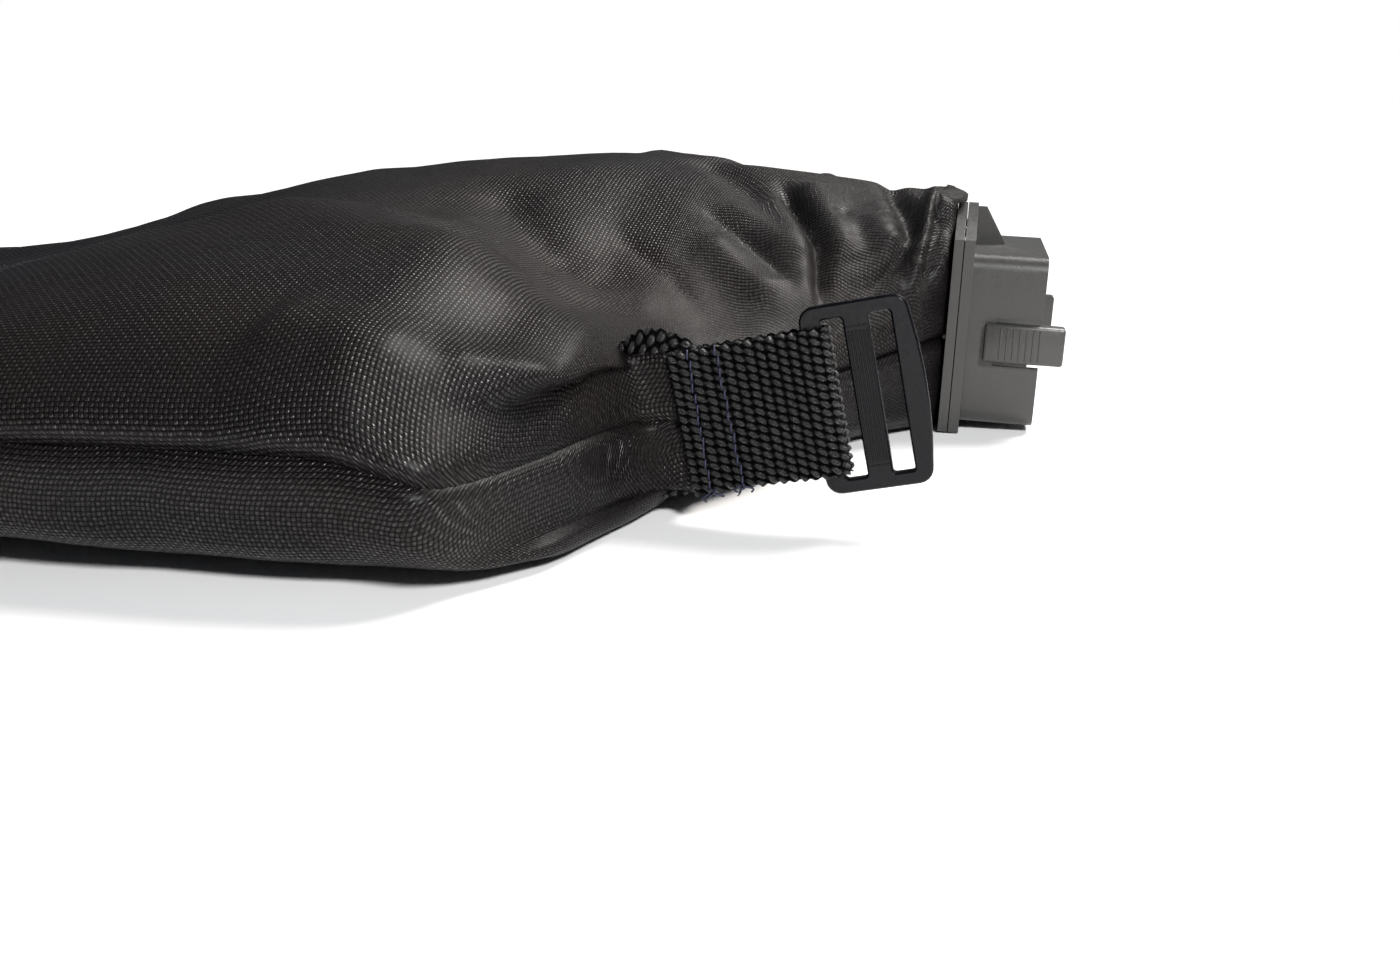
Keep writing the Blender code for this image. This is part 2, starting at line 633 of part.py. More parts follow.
def comb_outline(side):
    """A row of zip teeth, seen from the tail."""
    edge = ZIP_ROW_GAP / 2
    root = edge + ZIP_TOOTH_HEIGHT
    back = edge + ZIP_ROW_HEIGHT
    start = -ZIP_LENGTH / 2
    outline = [(-start, side * back), (start, side * back)]
    for i in range(int(round(ZIP_LENGTH / ZIP_TOOTH_PITCH))):
        tooth = start + ZIP_TOOTH_PITCH * i
        gap_start = tooth + ZIP_TOOTH_PITCH / 2
        outline += [(tooth, side * edge), (gap_start, side * edge)]
        outline += [(gap_start, side * root), (tooth + ZIP_TOOTH_PITCH, side * root)]
    return outline


def make_zip():
    reach = ZIP_ROW_DEPTH / 2
    tape_start = ZIP_ROW_GAP / 2 + ZIP_ROW_HEIGHT + GAP
    tape_half = ZIP_LENGTH / 2 + GAP + ZIP_STOP_LENGTH
    thick = ZIP_TAPE_THICKNESS / 2
    for side, end in ((1, "upper"), (-1, "lower")):
        low, high = sorted((side * tape_start, side * (tape_start + ZIP_TAPE_WIDTH)))
        tape = box_mesh("zip_tape_" + end, (-thick, -tape_half, low), (thick, tape_half, high))
        add_piece("zip_tape_" + end, tape, black_webbing, zip_place)
        row = prism_mesh("zip_teeth_" + end, comb_outline(side), -reach, reach, TO_X)
        add_piece("zip_teeth_" + end, row, black_plastic, zip_place)
    edge = ZIP_ROW_GAP / 2 + ZIP_ROW_HEIGHT
    for side, end in ((-1, "near"), (1, "far")):
        first = ZIP_LENGTH / 2 + GAP
        low, high = sorted((side * first, side * (first + ZIP_STOP_LENGTH)))
        stop = box_mesh("zip_stop_" + end, (-reach, low, -edge), (reach, high, edge))
        add_piece("zip_stop_" + end, stop, steel, zip_place)


def make_zip_slider():
    """Two plates joined by a thin web between the rows, with a bail for the pull."""
    reach = ZIP_ROW_DEPTH / 2 + GAP
    half = ZIP_SLIDER_LENGTH / 2
    high = ZIP_SLIDER_HEIGHT / 2
    front = box_mesh("zip_slider", (-reach - ZIP_PLATE, -half, -high), (-reach, half, high))
    slider = add_piece("zip_slider", front, steel, slider_place)
    back = box_mesh("slider_back", (reach, -half, -high), (reach + ZIP_PLATE, half, high))
    joined(slider, add_piece("slider_back", back, parent=slider_place))
    web = ZIP_ROW_GAP / 2 - GAP
    inside = reach + ZIP_PLATE / 2
    post = box_mesh("slider_web", (-inside, -half, -web), (inside, ZIP_WEB_LENGTH - half, web))
    joined(slider, add_piece("slider_web", post, parent=slider_place))
    face = -reach - ZIP_PLATE
    bail = box_mesh(
        "slider_bail",
        (face - ZIP_BAIL_REACH, -ZIP_BAIL_HALF_LENGTH, -ZIP_BAIL_HALF_HEIGHT),
        (face + ZIP_PLATE / 2, ZIP_BAIL_HALF_LENGTH, ZIP_BAIL_HALF_HEIGHT),
    )
    joined(slider, add_piece("slider_bail", bail, parent=slider_place))
    inner = ZIP_BAIL_HALF_LENGTH - ZIP_BAIL_WALL
    window = box_mesh(
        "bail_window",
        (face - ZIP_BAIL_REACH + ZIP_BAIL_WALL, -inner, -PAST),
        (face, inner, PAST),
    )
    joined(slider, add_piece("bail_window", window, parent=slider_place), "DIFFERENCE")


def make_zip_pull():
    """A flat tongue with a window; the bar past the window turns under the slider's bail."""
    back = -ZIP_CROSSBAR / 2
    half = ZIP_PULL_WIDTH / 2
    tip = back + ZIP_PULL_LENGTH
    window_half = ZIP_BAIL_HALF_HEIGHT + 2 * GAP
    outline = arc((tip - half, 0), half, -90, 90, ROUND_SEGMENTS // 2)
    outline = [(back, -half)] + outline + [(back, half)]
    window = [
        (-back, -window_half),
        (-back + ZIP_PULL_WINDOW, -window_half),
        (-back + ZIP_PULL_WINDOW, window_half),
        (-back, window_half),
    ]
    mesh = plate_mesh("zip_pull", [outline, window], ZIP_PULL_THICKNESS, TO_X)
    add_piece("zip_pull", mesh, steel, pull_pivot)


clear_scene()
pieces = new_collection("leaf vacuum collection bag")
cutters = new_collection("cutters and guides")

black_fabric = plain_material("black fabric", (0.022, 0.02, 0.021), 0.75)
black_webbing = plain_material("black webbing", (0.015, 0.015, 0.018), 0.7)
black_plastic = plain_material("black plastic", (0.012, 0.012, 0.016), 0.4)
grey_plastic = plain_material("grey plastic", (0.1, 0.1, 0.095), 0.45)
steel = plain_material("steel", (0.45, 0.45, 0.46), 0.35, 1.0)

collar_place = add_empty("collar_place", (FLANGE_BACK_X, 0, COLLAR_HEIGHT), (0, COLLAR_TILT, 0))
tab_root = Vector((TAB_ROOT_X, -bag_section(TAB_ROOT_X)[0] - EAR_STAND_OFF, SHOULDER_SEAM_HEIGHT))
tab_frame = Matrix.Translation(tab_root) @ Matrix.Rotation(-TAB_RISE, 4, "Y")
tab_place = add_empty("tab_place", tab_root, (0, -TAB_RISE, 0))
slide_pivot = add_empty("slide_pivot", (PIVOT_IN_TAB, 0, 0), parent=tab_place)
zip_place = add_empty("zip_place", (TAIL_X + ZIP_PLANE_DEPTH, 0, TAIL_SEAM_HEIGHT))
slider_place = add_empty("slider_place", (0, (ZIP_SLIDER_LENGTH - ZIP_LENGTH) / 2, 0), parent=zip_place)
bail_centre = ZIP_ROW_DEPTH / 2 + GAP + ZIP_PLATE + (ZIP_BAIL_REACH - ZIP_BAIL_WALL) / 2
pull_pivot = add_empty("pull_pivot", (-bail_centre, 0, 0), parent=slider_place)

make_panels()
make_collar()
make_clamp()
make_strap_tab()
make_slide()
make_zip()
make_zip_slider()
make_zip_pull()
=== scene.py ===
"""Looks of a leaf vacuum collection bag: two fabric panels sewn at the sides and gathered into a
moulded collar, with a webbing tab, a three-bar slide and a zip across the tail.

Metres, +Z up. +X runs from the zipped tail to the collar, and the strap tab is on the -Y side.
"""

from math import cos, exp, pi, radians, sin, sqrt

import bmesh
import bpy
import numpy as np
from mathutils import Matrix, Vector, noise


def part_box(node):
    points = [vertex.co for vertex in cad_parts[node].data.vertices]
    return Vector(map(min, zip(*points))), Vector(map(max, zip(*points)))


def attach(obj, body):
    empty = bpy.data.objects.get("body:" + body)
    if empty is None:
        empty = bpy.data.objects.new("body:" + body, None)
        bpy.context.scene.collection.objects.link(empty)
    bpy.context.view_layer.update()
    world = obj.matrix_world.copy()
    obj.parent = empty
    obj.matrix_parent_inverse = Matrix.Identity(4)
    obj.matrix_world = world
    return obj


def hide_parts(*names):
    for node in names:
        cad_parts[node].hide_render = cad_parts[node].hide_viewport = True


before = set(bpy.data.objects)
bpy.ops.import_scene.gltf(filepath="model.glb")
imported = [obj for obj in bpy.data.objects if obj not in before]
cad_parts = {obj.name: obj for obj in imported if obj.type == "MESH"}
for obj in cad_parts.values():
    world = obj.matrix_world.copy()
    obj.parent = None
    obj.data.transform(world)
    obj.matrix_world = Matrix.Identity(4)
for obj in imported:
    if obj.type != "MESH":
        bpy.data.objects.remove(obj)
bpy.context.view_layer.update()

MM = 0.001
GAP = 0.3 * MM

# Bag, as its construction has it
BAG_LENGTH = 537 * MM
BAG_HALF_WIDTH = 240 * MM
BAG_CROWN = 88.5 * MM
SIDE_SEAM_HEIGHT = 34 * MM
SHOULDER_SEAM_HEIGHT = 27 * MM
SHOULDER_LENGTH = 104 * MM
PUFF_FROM_MOUTH = 125 * MM
TAIL_HALF_WIDTH = 212 * MM
TAIL_HEIGHT = 32 * MM
TAIL_SEAM_HEIGHT = 16 * MM
TAIL_ROUNDING = 8 * MM
TAIL_SLOT_HALF_HEIGHT = 5 * MM
TAIL_SLOT_INSET = 6 * MM
NECK_HALF_WIDTH = 45 * MM
NECK_CROWN = 74.5 * MM
NECK_BOTTOM = 2 * MM
NECK_TUCK = 7 * MM
COLLAR_HEIGHT = 31.5 * MM
COLLAR_TILT = radians(2.5)
RING_HALF_WIDTH = 38.5 * MM
RING_HALF_DEPTH = 27.5 * MM
MOUTH_FROM_FLANGE = 3.8 * MM
FABRIC = 0.7 * MM
HOLLOW_DEPTH = 22 * MM
HOLLOW_FROM_MOUTH = 99 * MM
HOLLOW_FROM_CENTRE = 108 * MM
HOLLOW_LENGTH = 55 * MM
HOLLOW_WIDTH = 45 * MM
SHOULDER_PROFILE = ((0, 0), (0.28, 0.2), (0.48, 0.42), (0.65, 0.59), (0.77, 0.8), (0.84, 0.93), (1, 1))
SQUARENESS_PROFILE = ((0, 3.2), (0.15, 2.2), (0.3, 1.6), (0.6, 1.35), (0.95, 1.4), (1.25, 2.1))
FALL_PROFILE = ((0, 0), (0.14, 0.06), (0.25, 0.17), (0.36, 0.38), (0.55, 0.7), (0.79, 0.92), (1, 1))
# Folds in the slack fabric: start and end, as shares of the way from tail to mouth and of the
# half width, then half width and height
SLACK_FOLDS = (
    ((0.645, -0.52), (0.842, -0.75), 19 * MM, 4 * MM),
    ((0.645, 0.52), (0.842, 0.75), 19 * MM, 4 * MM),
    ((0.56, 0.42), (0.36, 0.55), 24 * MM, -4.5 * MM),
    ((0.55, -0.4), (0.27, -0.46), 24 * MM, -5 * MM),
    ((0.46, 0.04), (0.2, 0.1), 26 * MM, 5 * MM),
    ((0.31, -0.7), (0.1, -0.27), 20 * MM, -3.5 * MM),
    ((0.29, 0.67), (0.08, 0.33), 20 * MM, -3 * MM),
)

# Strap tab and slide
WEBBING_WIDTH = 38 * MM
WEBBING_THICKNESS = 1.8 * MM
TAB_LENGTH = 41.6 * MM
TAB_FROM_MOUTH = 63.5 * MM
TAB_RISE = radians(11)
LOOP_RADIUS = 3.34 * MM
PIVOT_IN_TAB = TAB_LENGTH - WEBBING_THICKNESS - LOOP_RADIUS
CENTRE_BAR_START = 8.3 * MM

# Places taken from the frame
TAIL_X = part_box("upper_panel")[0][0]
FLANGE_BACK_X = TAIL_X + BAG_LENGTH
MOUTH_X = FLANGE_BACK_X - MOUTH_FROM_FLANGE
TAB_SIDE = sum(end[1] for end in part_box("strap_tab")) / 2
TAB_ROOT = Vector((MOUTH_X - TAB_FROM_MOUTH, TAB_SIDE, SHOULDER_SEAM_HEIGHT))
TAB_PLACE = Matrix.Translation(TAB_ROOT) @ Matrix.Rotation(-TAB_RISE, 4, "Y")
SLIDE_PIVOT = TAB_PLACE @ Vector((PIVOT_IN_TAB, 0, 0))
SLIDE_PLACE = Matrix.Translation(SLIDE_PIVOT) @ Matrix.Rotation(-TAB_RISE, 4, "Y")
COLLAR_PLACE = Matrix.Translation((FLANGE_BACK_X, 0, COLLAR_HEIGHT)) @ Matrix.Rotation(COLLAR_TILT, 4, "Y")

# Webbing and weave
KNOTS_ACROSS = 17
KNOT_PITCH = 2.9 * MM
KNOT_HEIGHT = 0.85 * MM
KNOT_LENGTH = 1.42 * MM
KNOT_HALF_WIDTH = 0.8 * MM
KNOT_SLANT = 0.5
STRIP_COLUMNS = 144
YARN_STRAND = 0.34 * MM
WEAVE_PITCH = 1.3 * MM
COATING = 0.12

# Corner of the cloth that is drawn out flat under the tab
EAR_HALF_HEIGHT = 18 * MM
EAR_REACH = 48 * MM
EAR_BLEND = 44 * MM
EAR_HOLD = 9 * MM
EAR_FALL = 8 * MM

# Thread, with its cut ends at the tab: place along the tab, drop and lean in mm
STITCH_PITCH = 2.9 * MM
THREAD_RADIUS = 0.3 * MM
THREAD_SIDES = 5
THREAD_ENDS = (
    (3.2, 3.2, -1.4),
    (4.6, 2.6, 1.6),
    (11.2, 3.0, -1.0),
    (12.8, 2.4, 2.0),
    (4.0, 2.0, 0.2),
    (12.0, 1.8, 0.4),
)

# Zip
TEETH = 70
TOOTH_PITCH = 5 * MM

# Stage
FLOOR_HALF_WIDTH = 6.0
ROOM_LIGHT = 0.1
WINDOW_LIGHT = 4.8
WINDOW_DIRECTION = Vector((-0.5, -0.62, -1.0))
GLINT_LIGHT = 18
GLINT_PLACE = Vector((0.72, -0.98, 0.72))
GLINT_AIM = Vector((0.15, -0.15, 0.04))
CAMERA_PLACE = (0.2574, -0.5094, 0.1084)
CAMERA_DOWN = 15.2
CAMERA_TURN = 11

# Marks the ring of a panel that is the edge of the zip's slot
SLOT_EDGE = -1
OVER_FLOOR = 0.05 * MM
# Width and length that each panel is cut to, and its area with the shoulders cut away
UPPER_CUT = (0.525, 0.575)
UPPER_CUT_AREA = 0.253
LOWER_CUT = (0.525, 0.56)
LOWER_CUT_AREA = 0.254
UPPER_RINGS = 250
UPPER_COLUMNS = 168
LOWER_RINGS = 190
LOWER_COLUMNS = 130


def profile(points, share):
    """A smooth rise through a few points that never overshoots them."""
    share = min(max(share, points[0][0]), points[-1][0])
    slopes = [(b[1] - a[1]) / (b[0] - a[0]) for a, b in zip(points, points[1:])]
    tangents = [slopes[0]]
    for before, after in zip(slopes, slopes[1:]):
        product = before * after
        tangents.append(2 * product / (before + after) if product > 0 else 0)
    tangents.append(0)
    index = 0
    while share > points[index + 1][0]:
        index += 1
    (x0, y0), (x1, y1) = points[index], points[index + 1]
    span = x1 - x0
    t = (share - x0) / span
    return (
        y0 * (1 + 2 * t) * (1 - t) ** 2
        + y1 * t * t * (3 - 2 * t)
        + span * tangents[index] * t * (1 - t) ** 2
        - span * tangents[index + 1] * t * t * (1 - t)
    )


def eased(share):
    share = np.clip(share, 0, 1)
    return share * share * (3 - 2 * share)


def blended(start, end, share):
    return start + (end - start) * share


# Fabric panels


def bag_section(x):
    """Half width, crown, seam height, bottom and squareness of the bag at a place along it."""
    back = MOUTH_X - x
    to_tail = (x - TAIL_X) / (MOUTH_X - TAIL_X)
    full = blended(TAIL_HALF_WIDTH, BAG_HALF_WIDTH, eased(to_tail * 2))
    half_width = blended(NECK_HALF_WIDTH, full, profile(SHOULDER_PROFILE, back / SHOULDER_LENGTH))
    if back < PUFF_FROM_MOUTH:
        crown = blended(NECK_CROWN, BAG_CROWN, sin(back / PUFF_FROM_MOUTH * pi / 2))
    else:
        fall = (back - PUFF_FROM_MOUTH) / (MOUTH_X - TAIL_X - PUFF_FROM_MOUTH)
        crown = blended(BAG_CROWN, TAIL_HEIGHT, profile(FALL_PROFILE, fall))
    tab_back = MOUTH_X - TAB_ROOT.x
    if back < tab_back:
        seam = blended(COLLAR_HEIGHT, SHOULDER_SEAM_HEIGHT, eased(2 * back / tab_back))
    else:
        rise = eased((back - tab_back - 24 * MM) / SHOULDER_LENGTH * 2)
        seam = blended(SHOULDER_SEAM_HEIGHT, SIDE_SEAM_HEIGHT, rise)
        seam = blended(TAIL_SEAM_HEIGHT, seam, eased(to_tail * 2))
    bottom = NECK_BOTTOM * (1 - eased(2 * back / SHOULDER_LENGTH))
    squareness = profile(SQUARENESS_PROFILE, back / SHOULDER_LENGTH)
    squareness = blended(4, squareness, eased(to_tail * 3))
    return half_width, crown, seam, bottom, squareness


def slack_folds(x, y):
    """How far the folds in the slack fabric rise or sink at places seen from above."""
    rise = 0
    for start, end, width, height in SLACK_FOLDS:
        first = np.array((blended(TAIL_X, MOUTH_X, start[0]), start[1] * BAG_HALF_WIDTH))
        last = np.array((blended(TAIL_X, MOUTH_X, end[0]), end[1] * BAG_HALF_WIDTH))
        run = last - first
        place = np.stack((np.full_like(y, x), y), axis=-1) - first
        share = np.clip(place @ run / (run @ run), 0, 1)
        away = np.linalg.norm(place - share[:, None] * run, axis=1) / width
        rise = rise + height * np.exp(-away * away)
    return rise


def ring_places(count):
    """Rings closer together towards the neck, where the folds are: (x, tuck towards the collar).

    The first one is the edge of the slot that the zip closes.
    """
    body = [(TAIL_X, SLOT_EDGE)]
    for i in range(count):
        share = i / (count - 1)
        x = TAIL_X + (MOUTH_X - NECK_TUCK - TAIL_X) * (1 - (1 - share) ** 1.55)
        body.append((x, 0))
    for i in range(1, 8):
        turn = pi / 2 * i / 7
        body.append((MOUTH_X - NECK_TUCK + NECK_TUCK * sin(turn), 1 - cos(turn)))
    body.append((FLANGE_BACK_X - GAP, 1))
    return body


def panel_ring(x, tuck, upper, columns):
    """One ring of evenly spaced points from the near seam to the far seam, with their seam lengths."""
    half_width, crown, seam, bottom, squareness = bag_section(x)
    inset = min((x - TAIL_X) / TAIL_ROUNDING, 1)
    sunk = TAIL_ROUNDING * (1 - sqrt(1 - (1 - inset) ** 2))
    half_width = blended(half_width, RING_HALF_WIDTH, max(tuck, 0)) - sunk
    crown = blended(crown, COLLAR_HEIGHT + RING_HALF_DEPTH, max(tuck, 0)) - sunk
    bottom = blended(bottom, COLLAR_HEIGHT - RING_HALF_DEPTH, max(tuck, 0)) + sunk
    if tuck == SLOT_EDGE:
        tuck = 0
        half_width = TAIL_HALF_WIDTH - TAIL_ROUNDING - TAIL_SLOT_INSET
        crown = seam + TAIL_SLOT_HALF_HEIGHT
        bottom = seam - TAIL_SLOT_HALF_HEIGHT
    angle = np.linspace(0, pi, 600)
    power = 2 / blended(squareness if upper else max(squareness, 5), 9, tuck)
    across = -np.sign(np.cos(angle)) * np.abs(np.cos(angle)) ** power * half_width
    along = np.abs(np.sin(angle)) ** power
    if upper:
        z = seam + GAP / 2 + (crown - seam) * along
        back = (MOUTH_X - x - HOLLOW_FROM_MOUTH) / HOLLOW_LENGTH
        aside = (np.abs(across) - HOLLOW_FROM_CENTRE) / HOLLOW_WIDTH
        sunk_by = HOLLOW_DEPTH * np.exp(-back * back - aside * aside)
        z += (slack_folds(x, across) - sunk_by) * eased(3 * along)
    else:
        z = seam - GAP / 2 - (seam - bottom) * np.minimum(along * 1.06, 1)
    lengths = np.concatenate(([0], np.cumsum(np.hypot(np.diff(across), np.diff(z)))))
    places = np.linspace(0, lengths[-1], columns + 1)
    ring = np.empty((columns + 1, 3))
    ring[:, 0] = x
    ring[:, 1] = np.interp(places, lengths, across)
    ring[:, 2] = np.interp(places, lengths, z)
    return ring, places


def panel_grid(upper, rings, columns):
    """Grid of points, with each point's length from the near seam, and each ring's whole length."""
    grid = []
    lengths = []
    for x, tuck in ring_places(rings):
        ring, places = panel_ring(x, tuck, upper, columns)
        grid.append(ring)
        lengths.append(places)
    return np.array(grid), np.array(lengths)


def grid_normals(grid, upper):
    """Outward normals of a grid of points."""
    along = np.gradient(grid, axis=0)
    across = np.gradient(grid, axis=1)
    normals = np.cross(along, across)
    normals /= np.maximum(np.linalg.norm(normals, axis=2, keepdims=True), 1e-12)
    return normals if upper else -normals


def fold_height(grid, path, width, height):
    """How much one fold lifts (or, with a negative height, creases) each point of the grid."""
    points = np.array(path) * MM
    best = np.full(grid.shape[:2], np.inf)
    share = np.zeros(grid.shape[:2])
    total = np.sum(np.linalg.norm(np.diff(points, axis=0), axis=1))
    done = 0.0
    for start, end in zip(points, points[1:]):
        run = end - start
        length = np.linalg.norm(run)
        t = np.clip(((grid - start) @ run) / length**2, 0, 1)
        distance = np.linalg.norm(grid - start - t[..., None] * run, axis=2)
        nearer = distance < best
        best = np.where(nearer, distance, best)
        share = np.where(nearer, (done + t * length) / total, share)
        done += length
    middle = eased(share / FOLD_FADE) * eased((1 - share) / FOLD_FADE)
    fade = FOLD_END_HEIGHT + (1 - FOLD_END_HEIGHT) * middle
    return height * MM * fade * np.exp(-((best / (width * MM)) ** 2))


# Path of the roll over the clamp, in mm ahead of the mouth and above the collar's middle
CLAMP_ROLL = ((-4.4, 46.2), (-1.2, 45.8), (1.6, 44.9), (3.2, 43.9), (2.4, 43.1), (-0.4, 43.0))

# A fold rises over this share of its length at either end, from this share of its height
FOLD_FADE = 0.18
FOLD_END_HEIGHT = 0.25

# Folds of the upper panel, read from the photo: points, width and height in mm
UPPER_FOLDS = (
    # crown's swell at the skyline
    (((-60, 0, 60), (0, 0, 75), (50, 0, 84)), 40, 2.4),
    (((132, 30, 90), (150, 30, 90), (172, 20, 88)), 26, 3.2),
    # dent between the lit band and the basin
    (((104, -66, 80), (116, -82, 74), (130, -98, 64), (142, -104, 56)), 9, -3.0),
    (((84, -128, 76), (100, -120, 75), (116, -100, 72)), 11, 2.2),
    # swell under the highlight beside the seam
    (((96, -214, 60), (118, -217, 54), (134, -216, 48)), 12, 2.6),
    (((138, -212, 50), (150, -205, 47), (163, -199, 41)), 7, 2.2),
    # cloth drawn tight from the side towards the tab
    (((112, -222, 44), (136, -212, 42), (160, -192, 38)), 13, 3.4),
    # basin's swell behind the tab
    (((136, -124, 55), (152, -110, 53), (168, -102, 52)), 9, 2.0),
    # creases that run down from the crown towards the tab
    (((158, 0, 86), (170, -12, 84), (180, -28, 81), (190, -40, 76)), 6.5, -3.6),
    (((147, -75, 67), (165, -88, 57), (181, -104, 47)), 3.0, -1.3),
    (((169, -52, 75), (180, -60, 69), (192, -68, 62), (203, -78, 54)), 2.6, -1.8),
    (((172, -66, 67), (184, -76, 59), (198, -86, 50)), 6, 2.4),
    (((176, -44, 76), (188, -54, 71), (198, -64, 63)), 5, 1.8),
    # the long S crease, with a swell on either side
    (
        ((191, -20, 80), (197, -34, 76), (203, -46, 71), (208, -56, 65), (211, -68, 57), (213, -80, 47)),
        2.9,
        -5.2,
    ),
    (((199, -14, 81), (207, -34, 75), (214, -50, 67), (218, -62, 58)), 6, 2.8),
    (((186, -26, 80), (193, -42, 74), (200, -56, 67), (204, -68, 59)), 5, 1.8),
    # small dimple, then the swell with its highlight
    (((213, -35, 73), (215, -41, 72)), 3, -1.6),
    (((221, -34, 72), (227, -47, 66), (233, -50, 62)), 6, 2.2),
    # pit beside the pillow, and the line down from it
    (((226, 8, 78), (229, -16, 77), (233, -32, 73), (236, -44, 66), (236, -51, 60)), 3.8, -4.4),
    (((236, -48, 63), (231, -57, 56), (226, -62, 50), (222, -66, 44)), 2.8, -3.2),
    # pillow that rolls over into the collar: two ridges with a hollow between them, joined below
    (
        (
            *((241, 22, 77), (241, 4, 78), (241, -20, 75), (240, -38, 70)),
            *((238, -52, 59), (238, -57, 50), (241, -57, 42)),
        ),
        2.6,
        3.0,
    ),
    (
        ((247, 18, 75), (248, -8, 74), (248, -30, 69), (247, -44, 60), (245, -52, 50), (242, -57, 42)),
        2.4,
        2.2,
    ),
    (((244, -22, 73), (244, -38, 67), (243, -50, 58), (242, -55, 49)), 2.6, -2.4),
    # far side of the neck, cut off from view and finished in the same way
    (((226, 8, 78), (232, 30, 73), (236, 48, 62), (231, 58, 50)), 4.0, -4.4),
    (((244, 10, 77), (245, 30, 72), (245, 46, 60), (245, 50, 45)), 4.4, 2.6),
    (((191, 12, 82), (200, 36, 76), (208, 58, 64), (210, 78, 50)), 3.4, -4.6),
    (((199, 14, 81), (208, 36, 75), (214, 54, 66)), 6, 2.6),
    (((176, 30, 82), (190, 58, 70), (202, 84, 54)), 5.5, 2.4),
    (((160, 20, 88), (172, 56, 76), (186, 92, 56)), 4.0, -2.6),
    (((140, 60, 80), (150, 96, 62), (168, 120, 50)), 5, -2.2),
)

# Folds of the lower panel's wall
LOWER_FOLDS = (
    (((60, -238, 16), (110, -240, 14), (160, -226, 12)), 7, -2.0),
    (((130, -238, 22), (155, -228, 16), (172, -200, 10)), 5, 1.6),
    (((205, -94, 20), (222, -70, 14), (240, -50, 12)), 4, -2.0),
    (((205, 94, 20), (222, 70, 14), (240, 50, 12)), 4, -2.0),
)


def slack(grid, lengths, upper):
    """Slack in the cloth: long soft swells over the body, and gathers that fan out from the mouth."""
    half = lengths[:, -1:] / 2
    aside = (lengths - half) / MM
    back = (MOUTH_X - grid[..., 0]) / MM
    lift = np.zeros(grid.shape[:2])
    seed = 3.7 if upper else 9.1
    for i in range(grid.shape[0]):
        for j in range(grid.shape[1]):
            along = back[i, j]
            over = aside[i, j]
            swell = noise.noise(Vector((along / 95, over / 70, seed)))
            ripple = noise.noise(Vector((along / 34 + over / 60, over / 26, seed + 5)))
            fan = over / (0.32 + along / 110)
            gather = 1 - 2.6 * abs(noise.noise(Vector((fan / 13, along / 46, seed + 9))))
            small = noise.noise(Vector((along / 11, over / 9, seed + 14)))
            near_mouth = exp(-((along / 40) ** 2))
            lift[i, j] = 1.5 * swell + 0.8 * ripple + 0.45 * gather * near_mouth + 0.16 * small
    seam = np.minimum(lengths, lengths[:, -1:] - lengths) / MM
    hold = eased(seam / 22) * eased((grid[..., 0] - TAIL_X) / (26 * MM)) * eased(back / 3.2)
    return lift * hold * MM


def seam_pucker(grid, lengths):
    """Small puckers along both side seams, where the stitching draws the cloth in."""
    seam = np.minimum(lengths, lengths[:, -1:] - lengths) / MM
    along = grid[..., 0] / MM
    wave = np.sin(along / 5.1) * np.sin(along / 17.3 + 1.1) + 0.5 * np.sin(along / 8.7 + 2)
    lip = -1.7 * np.exp(-((seam / 1.6) ** 2))
    return (0.32 * wave * np.exp(-((seam / 9) ** 2)) + lip) * MM


def drawn_to_tab(grid, lengths, upper):
    """Draws the near corner out flat, so that the strap tab is sewn over it."""
    side = 1 if upper else -1
    x = grid[..., 0]
    reach = eased((x - TAB_ROOT.x + EAR_REACH) / EAR_BLEND) ** 1.4
    reach = reach * eased((TAB_ROOT.x + 3.5 * MM - x) / (5 * MM))
    far = np.maximum(lengths - EAR_HALF_HEIGHT, 0)
    weight = reach * np.exp(-((far / EAR_HOLD) ** 2))
    rise = np.minimum(lengths, EAR_HALF_HEIGHT + 1.5 * MM)
    target_y = TAB_ROOT.y - 0.4 * MM + EAR_FALL * (1 - np.exp(-far / EAR_FALL))
    target_z = SHOULDER_SEAM_HEIGHT + side * rise - side * far * 0.4
    grid[..., 0] = x - weight * sin(TAB_RISE) * side * rise
    grid[..., 1] = blended(grid[..., 1], target_y, weight)
    grid[..., 2] = blended(grid[..., 2], target_z, weight)
    return grid


def rolled_over_clamp(grid):
    """Bulges the gathered fabric at the top of the neck over the clamp's arch, and tucks it behind."""
    near_middle = np.abs(grid[..., 1]) / MM
    forward = eased((27 - near_middle) / 9)
    upward = eased((37 - near_middle) / 8)
    for ring, (ahead, above) in zip(range(-len(CLAMP_ROLL) - 2, -2), CLAMP_ROLL):
        x = MOUTH_X + ahead * MM
        z = COLLAR_HEIGHT + above * MM
        grid[ring, :, 0] = blended(np.minimum(grid[ring, :, 0], MOUTH_X), x, forward[ring])
        grid[ring, :, 2] = blended(grid[ring, :, 2], np.maximum(z, grid[ring, :, 2]), upward[ring])
    return grid


def leaned(grid):
    """The neck leans with the collar, and the lean fades over the shoulder."""
    share = eased(1 - (MOUTH_X - grid[..., 0]) / (SHOULDER_LENGTH / 2)) * COLLAR_TILT
    x = grid[..., 0] - FLANGE_BACK_X
    z = grid[..., 2] - COLLAR_HEIGHT
    out = grid.copy()
    out[..., 0] = FLANGE_BACK_X + x * np.cos(share) + z * np.sin(share)
    out[..., 2] = COLLAR_HEIGHT - x * np.sin(share) + z * np.cos(share)
    return out


def in_scene(name, data):
    """A new object that is linked to the scene."""
    made = bpy.data.objects.new(name, data)
    bpy.context.scene.collection.objects.link(made)
    return made


